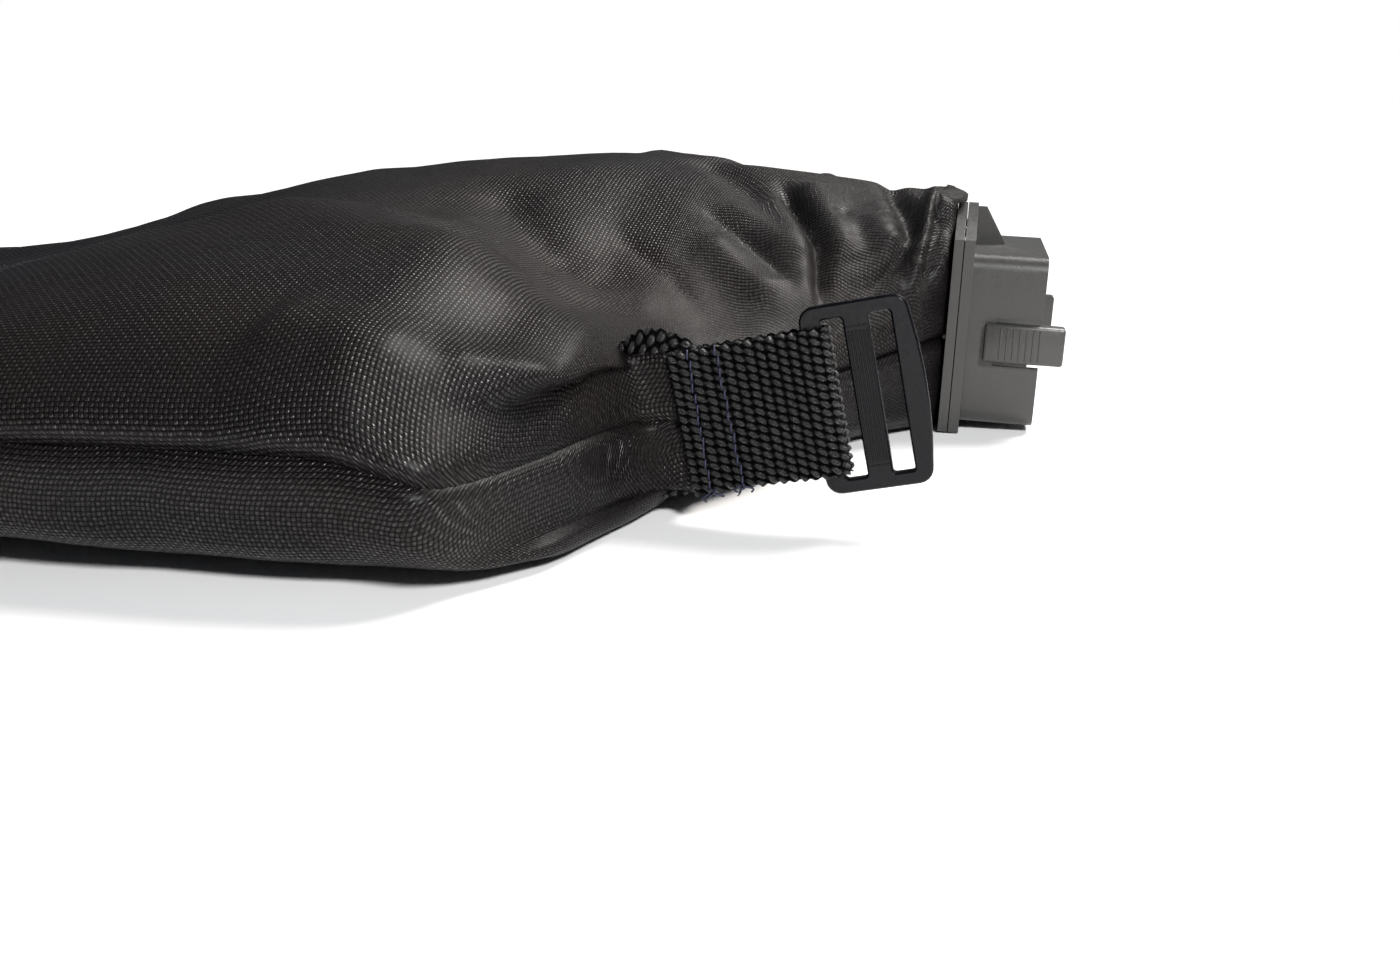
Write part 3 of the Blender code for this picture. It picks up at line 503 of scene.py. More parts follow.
def write_cloth_uv(mesh, uv):
    """Gives a mesh its UV map in metres of cloth, from one pair of lengths for each vertex."""
    layer = mesh.uv_layers.new(name="cloth")
    corners = np.empty(len(mesh.loops), np.int32)
    mesh.loops.foreach_get("vertex_index", corners)
    layer.data.foreach_set("uv", uv.reshape(-1, 2)[corners].astype(np.float32).ravel())


def grid_piece(name, grid, uv, upper):
    """A sheet from a grid of points, with its UV map."""
    rows, columns = grid.shape[:2]
    index = np.arange(rows * columns).reshape(rows, columns)
    a, b = index[:-1, :-1].ravel(), index[1:, :-1].ravel()
    c, d = index[1:, 1:].ravel(), index[:-1, 1:].ravel()
    quads = np.stack((a, b, c, d) if upper else (a, d, c, b), axis=1)
    mesh = bpy.data.meshes.new(name)
    mesh.from_pydata(grid.reshape(-1, 3).tolist(), [], quads.tolist())
    write_cloth_uv(mesh, uv)
    mesh.shade_smooth()
    return in_scene(name, mesh)


def with_modifier(piece, kind, **settings):
    modifier = piece.modifiers.new(kind.lower(), kind)
    for key, value in settings.items():
        setattr(modifier, key, value)


def applied(piece):
    """The piece with its modifiers made real."""
    graph = bpy.context.evaluated_depsgraph_get()
    shape = piece.evaluated_get(graph)
    mesh = bpy.data.meshes.new_from_object(shape, preserve_all_data_layers=True, depsgraph=graph)
    piece.modifiers.clear()
    piece.data = mesh
    return piece


def cloth_lengths(grid):
    """Lengths of cloth across the panel from its middle, and along it from the tail, at each grid point."""
    across = np.zeros(grid.shape[:2])
    across[:, 1:] = np.cumsum(np.linalg.norm(np.diff(grid, axis=1), axis=2), axis=1)
    across -= across[:, grid.shape[1] // 2][:, None]
    along = np.zeros(grid.shape[:2])
    along[1:] = np.cumsum(np.linalg.norm(np.diff(grid, axis=0), axis=2), axis=0)
    return np.stack((across, along), axis=2)


def make_panel(name, upper, rings, columns, folds):
    grid, lengths = panel_grid(upper, rings, columns)
    normals = grid_normals(grid, upper)
    lift = slack(grid, lengths, upper) + seam_pucker(grid, lengths)
    hold = eased((MOUTH_X - grid[..., 0]) / (4 * MM))
    for path, width, height in folds:
        lift += fold_height(grid, path, width, height) * hold
    grid = grid + normals * lift[..., None]
    grid = drawn_to_tab(grid, lengths, upper)
    if upper:
        grid = rolled_over_clamp(grid)
    grid = leaned(grid)
    grid[..., 2] = np.maximum(grid[..., 2], OVER_FLOOR)
    piece = grid_piece(name, grid, cloth_lengths(grid), upper)
    with_modifier(piece, "SOLIDIFY", thickness=FABRIC, offset=-1, use_even_offset=False)
    return applied(piece)


# Materials


class Finish:
    """A material's node tree, with short helpers."""

    def __init__(self, name, colour, roughness, metallic=0.0, specular=0.5):
        self.material = bpy.data.materials.new(name)
        self.material.use_nodes = True
        self.tree = self.material.node_tree
        self.shader = self.tree.nodes["Principled BSDF"]
        self.shader.inputs["Base Color"].default_value = (*colour, 1)
        self.shader.inputs["Roughness"].default_value = roughness
        self.shader.inputs["Metallic"].default_value = metallic
        self.shader.inputs["Specular IOR Level"].default_value = specular

    def node(self, kind, **settings):
        made = self.tree.nodes.new("ShaderNode" + kind)
        for key, value in settings.items():
            setattr(made, key, value)
        return made

    def link(self, start, end):
        self.tree.links.new(start, end)

    def feed(self, socket, value):
        """Sets a socket to a number or a colour, or links another node's output to it."""
        if isinstance(value, tuple):
            socket.default_value = (*value, 1)
        elif isinstance(value, (int, float)):
            socket.default_value = value
        else:
            self.link(value, socket)

    def math(self, operation, *values):
        made = self.node("Math", operation=operation)
        for socket, value in zip(made.inputs, values):
            self.feed(socket, value)
        return made.outputs[0]

    def cloth_place(self):
        """Across and along the cloth, from the piece's own UV map."""
        uv = self.node("UVMap", uv_map="cloth")
        parts = self.node("SeparateXYZ")
        self.link(uv.outputs[0], parts.inputs[0])
        return parts.outputs[0], parts.outputs[1]

    def object_noise(self, scale, detail=3.0, roughness=0.55):
        place = self.node("TexCoord")
        texture = self.node("TexNoise")
        texture.inputs["Scale"].default_value = scale
        texture.inputs["Detail"].default_value = detail
        texture.inputs["Roughness"].default_value = roughness
        self.link(place.outputs["Object"], texture.inputs["Vector"])
        return texture.outputs["Fac"]

    def ranged(self, value, low, high, start=0.0, end=1.0):
        made = self.node("MapRange")
        for socket, number in zip(list(made.inputs)[1:5], (start, end, low, high)):
            socket.default_value = number
        self.link(value, made.inputs[0])
        return made.outputs[0]

    def mixed(self, share, first, second):
        made = self.node("Mix", data_type="RGBA")
        for index, value in ((0, share), (6, first), (7, second)):
            self.feed(made.inputs[index], value)
        return made.outputs[2]

    def mixed_value(self, share, first, second):
        made = self.node("Mix", data_type="FLOAT")
        for index, value in ((0, share), (2, first), (3, second)):
            self.feed(made.inputs[index], value)
        return made.outputs[0]

    def colour(self, value):
        self.link(value, self.shader.inputs["Base Color"])

    def rough(self, value):
        self.link(value, self.shader.inputs["Roughness"])

    def bump(self, height, distance):
        made = self.node("Bump")
        made.inputs["Strength"].default_value = 1.0
        made.inputs["Distance"].default_value = distance
        self.link(height, made.inputs["Height"])
        self.link(made.outputs[0], self.shader.inputs["Normal"])


def woven_height(finish, across, along, pitch_across, pitch_along, sharpness=0.7, under=0.62):
    """Plain weave: threads that pass over and under one another, as staggered beads."""
    a = finish.math("SINE", finish.math("MULTIPLY", across, pi / pitch_across))
    b = finish.math("SINE", finish.math("MULTIPLY", along, pi / pitch_along))
    wave = finish.math("MULTIPLY", a, b)
    bead = finish.math("POWER", finish.math("ABSOLUTE", wave), sharpness)
    over = finish.math("GREATER_THAN", wave, 0.0)
    share = finish.math("MULTIPLY_ADD", over, 1 - under, under)
    return finish.math("MULTIPLY", bead, share)


def coated_fabric():
    """Coarse plain weave of glossy filament with glinting beads and a soft coating, with painted shade in
    the gaps between the beads and broad warm and bluish patches of painted light and shadow.
    """
    finish = Finish("black woven fabric", (0.012, 0.011, 0.011), 0.3)
    across, along = finish.cloth_place()
    drift = finish.object_noise(180, 2.0)
    across = finish.math("MULTIPLY_ADD", drift, 0.0005, across)
    height = woven_height(finish, across, along, WEAVE_PITCH, WEAVE_PITCH * 0.93)
    thread = finish.ranged(height, 0.0, 1.0, 0.1, 0.8)
    # painted light and shadow: broad noise patches in the base colour, warm where they stand for lit cloth
    # and bluish where they stand for shade
    shade = finish.ranged(finish.object_noise(9, 4.0), 0.0, 1.0, 0.35, 0.65)
    painted_light_and_shadow = finish.mixed(shade, (0.0018, 0.002, 0.0046), (0.0142, 0.0096, 0.0082))
    # painted shade: where the thread mask is low, the gaps between the beads are coloured almost black
    finish.colour(finish.mixed(thread, (0.0006, 0.0006, 0.0008), painted_light_and_shadow))
    worn = finish.ranged(finish.object_noise(60, 3.0), 0.22, 0.36, 0.3, 0.7)
    finish.rough(finish.mixed_value(thread, 0.75, worn))
    sparkle = finish.ranged(finish.object_noise(1100, 2.0), 0.04, 0.62, 0.3, 0.7)
    finish.link(finish.mixed_value(thread, 0.04, sparkle), finish.shader.inputs["Specular IOR Level"])
    finish.shader.inputs["Coat Weight"].default_value = COATING
    finish.shader.inputs["Coat Roughness"].default_value = 0.38
    finish.shader.inputs["Coat Tint"].default_value = (1.0, 0.94, 0.88, 1)
    fuzz = finish.object_noise(2600, 2.0)
    finish.bump(finish.math("MULTIPLY_ADD", fuzz, 0.1, height), 0.36 * MM)
    return finish.material


def ribbed_webbing():
    """Glossy black yarn with painted shade in the gaps between the knots, which are real shapes, with their
    strands as bumps.
    """
    finish = Finish("black ribbed webbing", (0.012, 0.012, 0.013), 0.36)
    across, along = finish.cloth_place()
    slant = finish.math("MULTIPLY_ADD", across, 2.2, along)
    strand = finish.math("SINE", finish.math("MULTIPLY", slant, 2 * pi / YARN_STRAND))
    fuzz = finish.object_noise(1800, 3.0)
    raised = finish.node("Attribute", attribute_name="knot")
    knot = finish.ranged(raised.outputs["Fac"], 0.0, 1.0, 0.1, 0.6)
    shade = finish.ranged(fuzz, 0.0, 1.0, 0.3, 0.7)
    yarn = finish.mixed(shade, (0.004, 0.0042, 0.005), (0.018, 0.018, 0.017))
    # painted shade: where the knot height is low, the gaps between the knots are coloured almost black
    finish.colour(finish.mixed(knot, (0.0008, 0.0008, 0.001), yarn))
    finish.rough(finish.ranged(finish.object_noise(900, 2.0), 0.22, 0.36, 0.3, 0.7))
    finish.link(finish.mixed_value(knot, 0.1, 0.75), finish.shader.inputs["Specular IOR Level"])
    finish.bump(finish.math("MULTIPLY_ADD", fuzz, 0.6, strand), 0.05 * MM)
    return finish.material


def zip_tape_cloth():
    finish = Finish("zip tape twill", (0.02, 0.02, 0.022), 0.6)
    place = finish.node("TexCoord")
    parts = finish.node("SeparateXYZ")
    finish.link(place.outputs["Object"], parts.inputs[0])
    slant = finish.math("ADD", parts.outputs[1], parts.outputs[2])
    twill = finish.math("SINE", finish.math("MULTIPLY", slant, 5200))
    shade = finish.ranged(twill, 0.2, 1.0, -1, 1)
    finish.colour(finish.mixed(shade, (0.005, 0.005, 0.006), (0.028, 0.028, 0.031)))
    finish.bump(twill, 0.08 * MM)
    return finish.material


def grained_plastic(name, colour, dark, roughness, grain, distance, specular):
    """Moulded plastic with a fine spark grain, faint flow marks and rubbed highlights."""
    finish = Finish(name, colour, roughness, specular=specular)
    cloud = finish.object_noise(24, 4.0)
    finish.colour(finish.mixed(finish.ranged(cloud, 0.0, 1.0, 0.3, 0.7), dark, colour))
    rubbed = finish.object_noise(grain / 3, 3.0)
    finish.rough(finish.ranged(rubbed, roughness - 0.07, roughness + 0.1, 0.3, 0.7))
    finish.bump(finish.object_noise(grain, 3.0, 0.7), distance)
    return finish.material


def plated_steel():
    finish = Finish("plated steel", (0.36, 0.36, 0.37), 0.3, 1.0)
    finish.rough(finish.ranged(finish.object_noise(500, 4.0), 0.22, 0.45, 0.3, 0.7))
    finish.bump(finish.object_noise(1500, 3.0), 0.02 * MM)
    return finish.material


def spun_thread(name, colour):
    finish = Finish(name, colour, 0.5)
    place = finish.node("TexCoord")
    texture = finish.node("TexWave", wave_type="BANDS", bands_direction="DIAGONAL")
    texture.inputs["Scale"].default_value = 900
    texture.inputs["Distortion"].default_value = 1.5
    finish.link(place.outputs["Object"], texture.inputs["Vector"])
    finish.bump(texture.outputs["Fac"], 0.05 * MM)
    shade = tuple(c * 0.4 for c in colour)
    finish.colour(finish.mixed(texture.outputs["Fac"], shade, colour))
    return finish.material


# Solid pieces


def piece_from(name, bm, finish, smooth_angle=35):
    """A finished piece in the scene, from a bmesh already in its place."""
    mesh = bpy.data.meshes.new(name)
    bm.to_mesh(mesh)
    bm.free()
    mesh.materials.append(finish)
    mesh.shade_smooth()
    mesh.set_sharp_from_angle(angle=radians(smooth_angle))
    return in_scene(name, mesh)


def rounded_copy(node, name, finish, radius, segments=2, angle=28):
    """The node's own shape with its corners rounded, as moulded and cast pieces have them."""
    bm = bmesh.new()
    bm.from_mesh(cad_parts[node].data)
    bmesh.ops.remove_doubles(bm, verts=bm.verts, dist=0.004 * MM)
    bmesh.ops.dissolve_limit(bm, angle_limit=radians(1), verts=bm.verts, edges=bm.edges)
    piece = piece_from(name, bm, finish)
    with_modifier(
        piece,
        "BEVEL",
        width=radius,
        segments=segments,
        limit_method="ANGLE",
        angle_limit=radians(angle),
        use_clamp_overlap=True,
        harden_normals=True,
    )
    return applied(piece)


def box_in(bm, low, high, place, corner, segments=2):
    """Adds a box with rounded edges to a bmesh, in a place's own axes."""
    verts = bmesh.ops.create_cube(bm, size=1)["verts"]
    size = Vector(high) - Vector(low)
    centre = (Vector(high) + Vector(low)) / 2
    bmesh.ops.scale(bm, vec=size, verts=verts)
    bmesh.ops.translate(bm, vec=centre, verts=verts)
    edges = list({edge for vert in verts for edge in vert.link_edges})
    made = bmesh.ops.bevel(bm, geom=edges, offset=corner, segments=segments, affect="EDGES", profile=0.5)
    moved = {vert for vert in verts if vert.is_valid}
    moved.update(vert for face in made["faces"] for vert in face.verts)
    bmesh.ops.transform(bm, matrix=place, verts=list(moved))


def make_collar():
    """The collar with rounded corners, and its latch grips added on the tongues."""
    collar = rounded_copy("collar_body", "collar", grey_plastic, 0.5 * MM)
    clamp = rounded_copy("clamp_frame", "clamp_ring", grey_plastic, 0.45 * MM)
    bm = bmesh.new()
    for side in (-1, 1):
        for i in range(7):
            x = (14 + 2.1 * i) * MM
            low, high = sorted((side * 43.3 * MM, side * 43.75 * MM))
            box_in(bm, (x, low, -5.2 * MM), (x + 0.7 * MM, high, 5.2 * MM), COLLAR_PLACE, 0.15 * MM, 1)
    grips = piece_from("latch_grip_ribs", bm, grey_plastic)
    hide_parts("collar_body")
    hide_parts("clamp_frame")
    for piece in (collar, clamp, grips):
        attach(piece, "bag")


def make_fasteners():
    for number in (1, 2):
        node = "clamp_screw_%d" % number
        screw = rounded_copy(node, "screw_%d" % number, steel, 0.3 * MM)
        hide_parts(node)
        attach(screw, "bag")


def make_slide():
    """The slide with rounded edges, the centre bar's lengthwise ribs and its rows of grip teeth."""
    body = rounded_copy("triglide_slide", "slide_body", black_plastic, 0.55 * MM, 3, 40)
    bm = bmesh.new()
    first = CENTRE_BAR_START
    for face in (-1, 1):
        for i in range(6):
            x = first + (0.85 + i * 0.96) * MM
            low, high = sorted((face * 1.4 * MM, face * 1.85 * MM))
            box_in(bm, (x, low, -17 * MM), (x + 0.5 * MM, high, 17 * MM), SLIDE_PLACE, 0.12 * MM, 1)
        for end in (-1, 1):
            for i in range(7):
                x = first + (0.55 + i * 0.83) * MM
                low, high = sorted((face * 1.4 * MM, face * 1.8 * MM))
                bottom, top = sorted((end * 17.9 * MM, end * 18.4 * MM))
                box_in(bm, (x, low, bottom), (x + 0.45 * MM, high, top), SLIDE_PLACE, 0.1 * MM, 1)
    grips = piece_from("slide_grip_ribs", bm, black_plastic)
    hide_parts("triglide_slide")
    for piece in (body, grips):
        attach(piece, "strap_slide")


# Strap tab

# The hairpin's centre line, in the tab's own axes: along it, out from it
TAB_FRONT = -2.25 * MM
TAB_BACK = 2.25 * MM
FOLD_RADIUS = LOOP_RADIUS + WEBBING_THICKNESS / 2


def tab_line():
    """The webbing's centre line: front layer, fold round the slide's bar, and back layer."""
    points = [(-0.5 * MM, TAB_FRONT - 0.8 * MM), (3 * MM, TAB_FRONT - 0.5 * MM), (8 * MM, TAB_FRONT)]
    points += [(15 * MM, TAB_FRONT + 0.1 * MM), (24 * MM, TAB_FRONT - 0.1 * MM)]
    for i in range(11):
        turn = radians(-105 + 21 * i)
        points.append((PIVOT_IN_TAB + FOLD_RADIUS * cos(turn), FOLD_RADIUS * sin(turn)))
    points += [(22 * MM, TAB_BACK + 0.1 * MM), (14 * MM, TAB_BACK), (5 * MM, TAB_BACK)]
    return points


def smooth_between(a, b, c, d, t):
    """A place on the smooth curve from b to c, with a before them and d after them."""
    square = (2 * a - 5 * b + 4 * c - d) * t * t
    cube = (3 * b - a - 3 * c + d) * t**3
    return 0.5 * (2 * b + (c - a) * t + square + cube)


def smooth_path(points, steps):
    """Evenly spaced points of a smooth curve through a few points, with their lengths along it."""
    padded = [points[0]] + list(points) + [points[-1]]
    dense = []
    for four in zip(padded, padded[1:], padded[2:], padded[3:]):
        for k in range(12):
            dense.append(tuple(smooth_between(*values, k / 12) for values in zip(*four)))
    dense.append(tuple(points[-1]))
    dense = np.array(dense)
    lengths = np.concatenate(([0], np.cumsum(np.linalg.norm(np.diff(dense, axis=0), axis=1))))
    places = np.linspace(0, lengths[-1], steps + 1)
    return np.stack([np.interp(places, lengths, values) for values in dense.T], axis=1), places


def knot_height(across, along):
    """Height of the webbing's knots: upright columns of slanted floats, every other one shifted."""
    pitch = WEBBING_WIDTH / KNOTS_ACROSS
    best = np.zeros(np.broadcast(across, along).shape)
    for column_step in (-1, 0, 1):
        column = np.floor(along / KNOT_PITCH) + column_step
        shift = np.where(column % 2 == 0, 0.0, 0.5)
        for knot_step in (-1, 0, 1):
            number = np.floor(across / pitch - shift) + knot_step
            jitter = np.sin(number * 12.9 + column * 78.2) * 0.1
            u = along - (column + 0.5) * KNOT_PITCH
            v = across - (number + 0.5 + shift + jitter) * pitch + u * KNOT_SLANT
            round_share = 1 - (u / KNOT_LENGTH) ** 2 - (v / KNOT_HALF_WIDTH) ** 2
            best = np.maximum(best, np.sqrt(np.maximum(round_share, 0)) * (1 + jitter))
    return best


def quads_of(*corners):
    """Faces of four corners each, from four arrays of vertex numbers."""
    return np.stack(corners, axis=-1).reshape(-1, 4)


def webbing_strip(name, path, places):
    """A strip of the tab's webbing along a path of (along, out), with knots raised on both faces."""
    tangent = np.gradient(path, axis=0)
    tangent /= np.linalg.norm(tangent, axis=1, keepdims=True)
    out = np.stack((-tangent[:, 1], tangent[:, 0]), axis=1)
    share = np.linspace(-1, 1, STRIP_COLUMNS + 1)[None, :]
    across = share * WEBBING_WIDTH / 2
    along = places[:, None]
    rim = np.clip((1 - np.abs(share)) * 12, 0, 1) ** 0.5
    skins = []
    knot_shares = []
    for face in (1, -1):
        knots = knot_height(across + face * 0.31 * MM, along + (0 if face > 0 else KNOT_PITCH / 3))
        half = (WEBBING_THICKNESS / 2 - KNOT_HEIGHT) * (0.5 + 0.5 * rim) + KNOT_HEIGHT * knots
        frayed = np.sin(along / KNOT_PITCH * 2 * pi) * np.clip(np.abs(share) * 9 - 8, 0, 1) * 0.3 * MM
        grid = np.empty((len(path), STRIP_COLUMNS + 1, 3))
        grid[..., 0] = path[:, :1] + out[:, :1] * face * half
        grid[..., 1] = path[:, 1:] + out[:, 1:] * face * half
        grid[..., 2] = across + np.sign(share) * frayed
        skins.append(grid)
        knot_shares.append(knots.ravel())
    rows = len(path)
    index = np.arange(rows * (STRIP_COLUMNS + 1)).reshape(rows, STRIP_COLUMNS + 1)
    under = index + index.size
    quads = [quads_of(index[:-1, :-1], index[1:, :-1], index[1:, 1:], index[:-1, 1:])]
    quads.append(quads_of(under[:-1, :-1], under[:-1, 1:], under[1:, 1:], under[1:, :-1]))
    for j, turn in ((0, 1), (STRIP_COLUMNS, -1)):
        quads.append(quads_of(index[:-1, j], under[:-1, j], under[1:, j], index[1:, j])[:, ::turn])
    for i, turn in ((0, -1), (rows - 1, 1)):
        quads.append(quads_of(index[i, :-1], under[i, :-1], under[i, 1:], index[i, 1:])[:, ::turn])
    points = np.concatenate([grid.reshape(-1, 3) for grid in skins])
    points = points @ np.array(TAB_PLACE.to_3x3()).T + np.array(TAB_PLACE.translation)
    uv = np.stack(np.broadcast_arrays(across, along), axis=-1)
    mesh = bpy.data.meshes.new(name)
    mesh.from_pydata(points.tolist(), [], np.concatenate(quads).tolist())
    write_cloth_uv(mesh, np.concatenate((uv, uv)))
    # knot heights, which the webbing's material also uses to paint shade into the gaps between the knots
    knot = mesh.attributes.new("knot", "FLOAT", "POINT")
    knot.data.foreach_set("value", np.concatenate(knot_shares).astype(np.float32))
    bm = bmesh.new()
    bm.from_mesh(mesh)
    bmesh.ops.recalc_face_normals(bm, faces=bm.faces)
    bpy.data.meshes.remove(mesh)
    return piece_from(name, bm, webbing, 75)


def curled_end():
    """The back layer's loose end, which rises over the flattened corner and rolls towards the front."""
    points = ((8, 2.25), (2, 2.5), (-4, 3.0), (-9, 3.2), (-14, 2.4), (-17.5, 0.9))
    path, places = smooth_path([(x * MM, y * MM) for x, y in points], 84)
    strip = webbing_strip("tab_back_end", path, places)
    inverse = TAB_PLACE.inverted()
    for vert in strip.data.vertices:
        local = inverse @ vert.co
        back = min(max((6 * MM - local.x) / (24 * MM), 0), 1)
        hump = sin(back * pi) ** 0.75
        upper = min(max((local.z - 2 * MM) / (17 * MM), 0), 1)
        local.z += 7.6 * MM * hump * upper - 1.2 * MM * back
        local.y -= 4.4 * MM * upper**2 * hump
        vert.co = TAB_PLACE @ local
    return strip


def thread_tube(points):
    """A thread's thin closed tube along a few points, as vertices and faces."""
    verts = []
    faces = []
    sides = THREAD_SIDES
    for i, point in enumerate(points):
        ahead = (points[min(i + 1, len(points) - 1)] - points[max(i - 1, 0)]).normalized()
        side = ahead.orthogonal().normalized()
        other = ahead.cross(side)
        for k in range(sides):
            turn = 2 * pi * k / sides
            verts.append(point + side * THREAD_RADIUS * cos(turn) + other * THREAD_RADIUS * sin(turn))
    for i in range(len(points) - 1):
        for k in range(sides):
            a = i * sides + k
            b = i * sides + (k + 1) % sides
            faces.append((a, b, b + sides, a + sides))
    faces.append(tuple(reversed(range(sides))))
    faces.append(tuple(range((len(points) - 1) * sides, len(points) * sides)))
    return verts, faces


def threads_piece(name, paths, finish):
    mesh = bpy.data.meshes.new(name)
    verts = []
    faces = []
    for path in paths:
        new_verts, new_faces = thread_tube(path)
        base = len(verts)
        verts += new_verts
        faces += [tuple(base + k for k in face) for face in new_faces]
    mesh.from_pydata([tuple(v) for v in verts], [], faces)
    mesh.materials.append(finish)
    mesh.shade_smooth()
    return in_scene(name, mesh)


def tab_stitching():
    """Two upright rows of navy lockstitch through the tab, with their cut ends hanging at the bottom."""
    paths = []
    face = TAB_FRONT - WEBBING_THICKNESS / 2
    for column, lean in ((4.2 * MM, 0.5 * MM), (12.2 * MM, -0.4 * MM)):
        z = -18.2 * MM
        count = 0
        while z < 18.2 * MM:
            x = column + lean * z / (19 * MM) + 0.25 * MM * sin(count * 1.9)
            path = []
            for k in range(7):
                t = k / 6
                bow = sin(t * pi)
                out = face - 0.42 * MM * bow + 0.25 * MM
                path.append(TAB_PLACE @ Vector((x + 0.4 * MM * (t - 0.5), out, z + 2.5 * MM * t)))
            paths.append(path)
            z += STITCH_PITCH
            count += 1
    for number, (start, drop, lean) in enumerate(THREAD_ENDS):
        path = []
        for k in range(9):
            t = k / 8
            x = (start + lean * t + 0.8 * sin(t * 7 + number)) * MM
            out = face - (0.3 + 0.9 * sin(t * 3 + number)) * MM
            path.append(TAB_PLACE @ Vector((x, out, (-17.8 - drop * t) * MM)))
        paths.append(path)
    return threads_piece("tab_stitches", paths, navy_thread)


def make_tab():
    path, places = smooth_path(tab_line(), 270)
    strip = webbing_strip("tab_webbing", path, places)
    end = curled_end()
    stitches = tab_stitching()
    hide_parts("strap_tab")
    for piece in (strip, end, stitches):
        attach(piece, "bag")


# Zip


def comb_of_teeth():
    """One tooth repeated along each row by Geometry Nodes, then made a plain mesh."""
    low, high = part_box("zip_teeth_upper")
    plane = (low[0] + high[0]) / 2
    for side, node in ((1, "zip_teeth_upper"), (-1, "zip_teeth_lower")):
        low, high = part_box(node)
        bm = bmesh.new()
        corner_low = (plane - 1.1 * MM, low[1], low[2])
        corner_high = (plane + 1.1 * MM, low[1] + 2.2 * MM, high[2])
        box_in(bm, corner_low, corner_high, Matrix(), 0.3 * MM)
        tooth = piece_from("tooth_master_%s" % node, bm, black_plastic)
        row = repeated_along_y("%s_row" % node, tooth, TEETH, TOOTH_PITCH, black_plastic)
        bpy.data.objects.remove(tooth)
        bm = bmesh.new()
        root = high[2] if side > 0 else low[2]
        cord_low, cord_high = sorted((root, root - side * 0.75 * MM))
        corner_low = (plane - 0.8 * MM, low[1], cord_low)
        corner_high = (plane + 0.8 * MM, high[1], cord_high)
        box_in(bm, corner_low, corner_high, Matrix(), 0.25 * MM)
        core = piece_from("%s_core" % node, bm, tape_cloth)
        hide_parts(node)
        for piece in (row, core):
            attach(piece, "bag")


def repeated_along_y(name, master, count, pitch, finish):
    """A Geometry Nodes tree that repeats a shape along the zip."""
    tree = bpy.data.node_groups.new(name, "GeometryNodeTree")
    tree.interface.new_socket("Geometry", in_out="INPUT", socket_type="NodeSocketGeometry")
    copies = tree.interface.new_socket("Copies", in_out="INPUT", socket_type="NodeSocketInt")
    spacing = tree.interface.new_socket("Spacing", in_out="INPUT", socket_type="NodeSocketFloat")
    tree.interface.new_socket("Geometry", in_out="OUTPUT", socket_type="NodeSocketGeometry")
    start = tree.nodes.new("NodeGroupInput")
    end = tree.nodes.new("NodeGroupOutput")
    offset = tree.nodes.new("ShaderNodeCombineXYZ")
    line = tree.nodes.new("GeometryNodeMeshLine")
    line.mode = "OFFSET"
    spread = tree.nodes.new("GeometryNodeInstanceOnPoints")
    real = tree.nodes.new("GeometryNodeRealizeInstances")
    paint = tree.nodes.new("GeometryNodeSetMaterial")
    paint.inputs["Material"].default_value = finish
    link = tree.links.new
    link(start.outputs["Copies"], line.inputs["Count"])
    link(start.outputs["Spacing"], offset.inputs["Y"])
    link(offset.outputs[0], line.inputs["Offset"])
    link(line.outputs["Mesh"], spread.inputs["Points"])
    link(start.outputs["Geometry"], spread.inputs["Instance"])
    link(spread.outputs["Instances"], real.inputs["Geometry"])
    link(real.outputs["Geometry"], paint.inputs["Geometry"])
    link(paint.outputs["Geometry"], end.inputs["Geometry"])
    holder = in_scene(name, master.data.copy())
    modifier = holder.modifiers.new("repeat", "NODES")
    modifier.node_group = tree
    modifier[copies.identifier] = count
    modifier[spacing.identifier] = pitch
    return applied(holder)


def tape_stitches():
    """Two rows of lockstitch on each tape, one stitch repeated by Geometry Nodes."""
    for node, name in (("zip_tape_upper", "upper"), ("zip_tape_lower", "lower")):
        low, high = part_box(node)
        for row, share in enumerate((0.3, 0.72)):
            z = blended(low[2], high[2], share)
            bm = bmesh.new()
            start = (low[0] - 0.12 * MM, low[1] + 3 * MM, z - 0.2 * MM)
            end = (low[0] + 0.25 * MM, low[1] + 5.3 * MM, z + 0.2 * MM)
            box_in(bm, start, end, Matrix(), 0.14 * MM)
            stitch = piece_from("stitch_master_%s_%d" % (name, row), bm, black_thread)
            count = int((high[1] - low[1] - 6 * MM) / STITCH_PITCH)
            title = "tape_stitches_%s_%d" % (name, row)
            rows = repeated_along_y(title, stitch, count, STITCH_PITCH, black_thread)
            bpy.data.objects.remove(stitch)
            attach(rows, "bag")


def tape_ends():
    """The folded ends of the tape, which close the slot beyond the zip's stops."""
    for node, side in (("zip_stop_near", -1), ("zip_stop_far", 1)):
        low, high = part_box(node)
        inner = (low[1] if side < 0 else high[1]) + side * GAP
        outer = side * (TAIL_HALF_WIDTH - TAIL_ROUNDING - TAIL_SLOT_INSET - 0.5 * MM)
        start, end = sorted((inner, outer))
        bm = bmesh.new()
        for fold in range(2):
            back = TAIL_X + (0.9 + 0.8 * fold) * MM
            inset = 0.8 * MM * fold
            corner_low = (back, start, TAIL_SEAM_HEIGHT - 5.4 * MM + inset)
            corner_high = (back + 0.7 * MM, end, TAIL_SEAM_HEIGHT + 5.4 * MM - inset)
            box_in(bm, corner_low, corner_high, Matrix(), 0.25 * MM)
        piece = piece_from(node.replace("stop", "tape_end"), bm, tape_cloth)
        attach(piece, "bag")


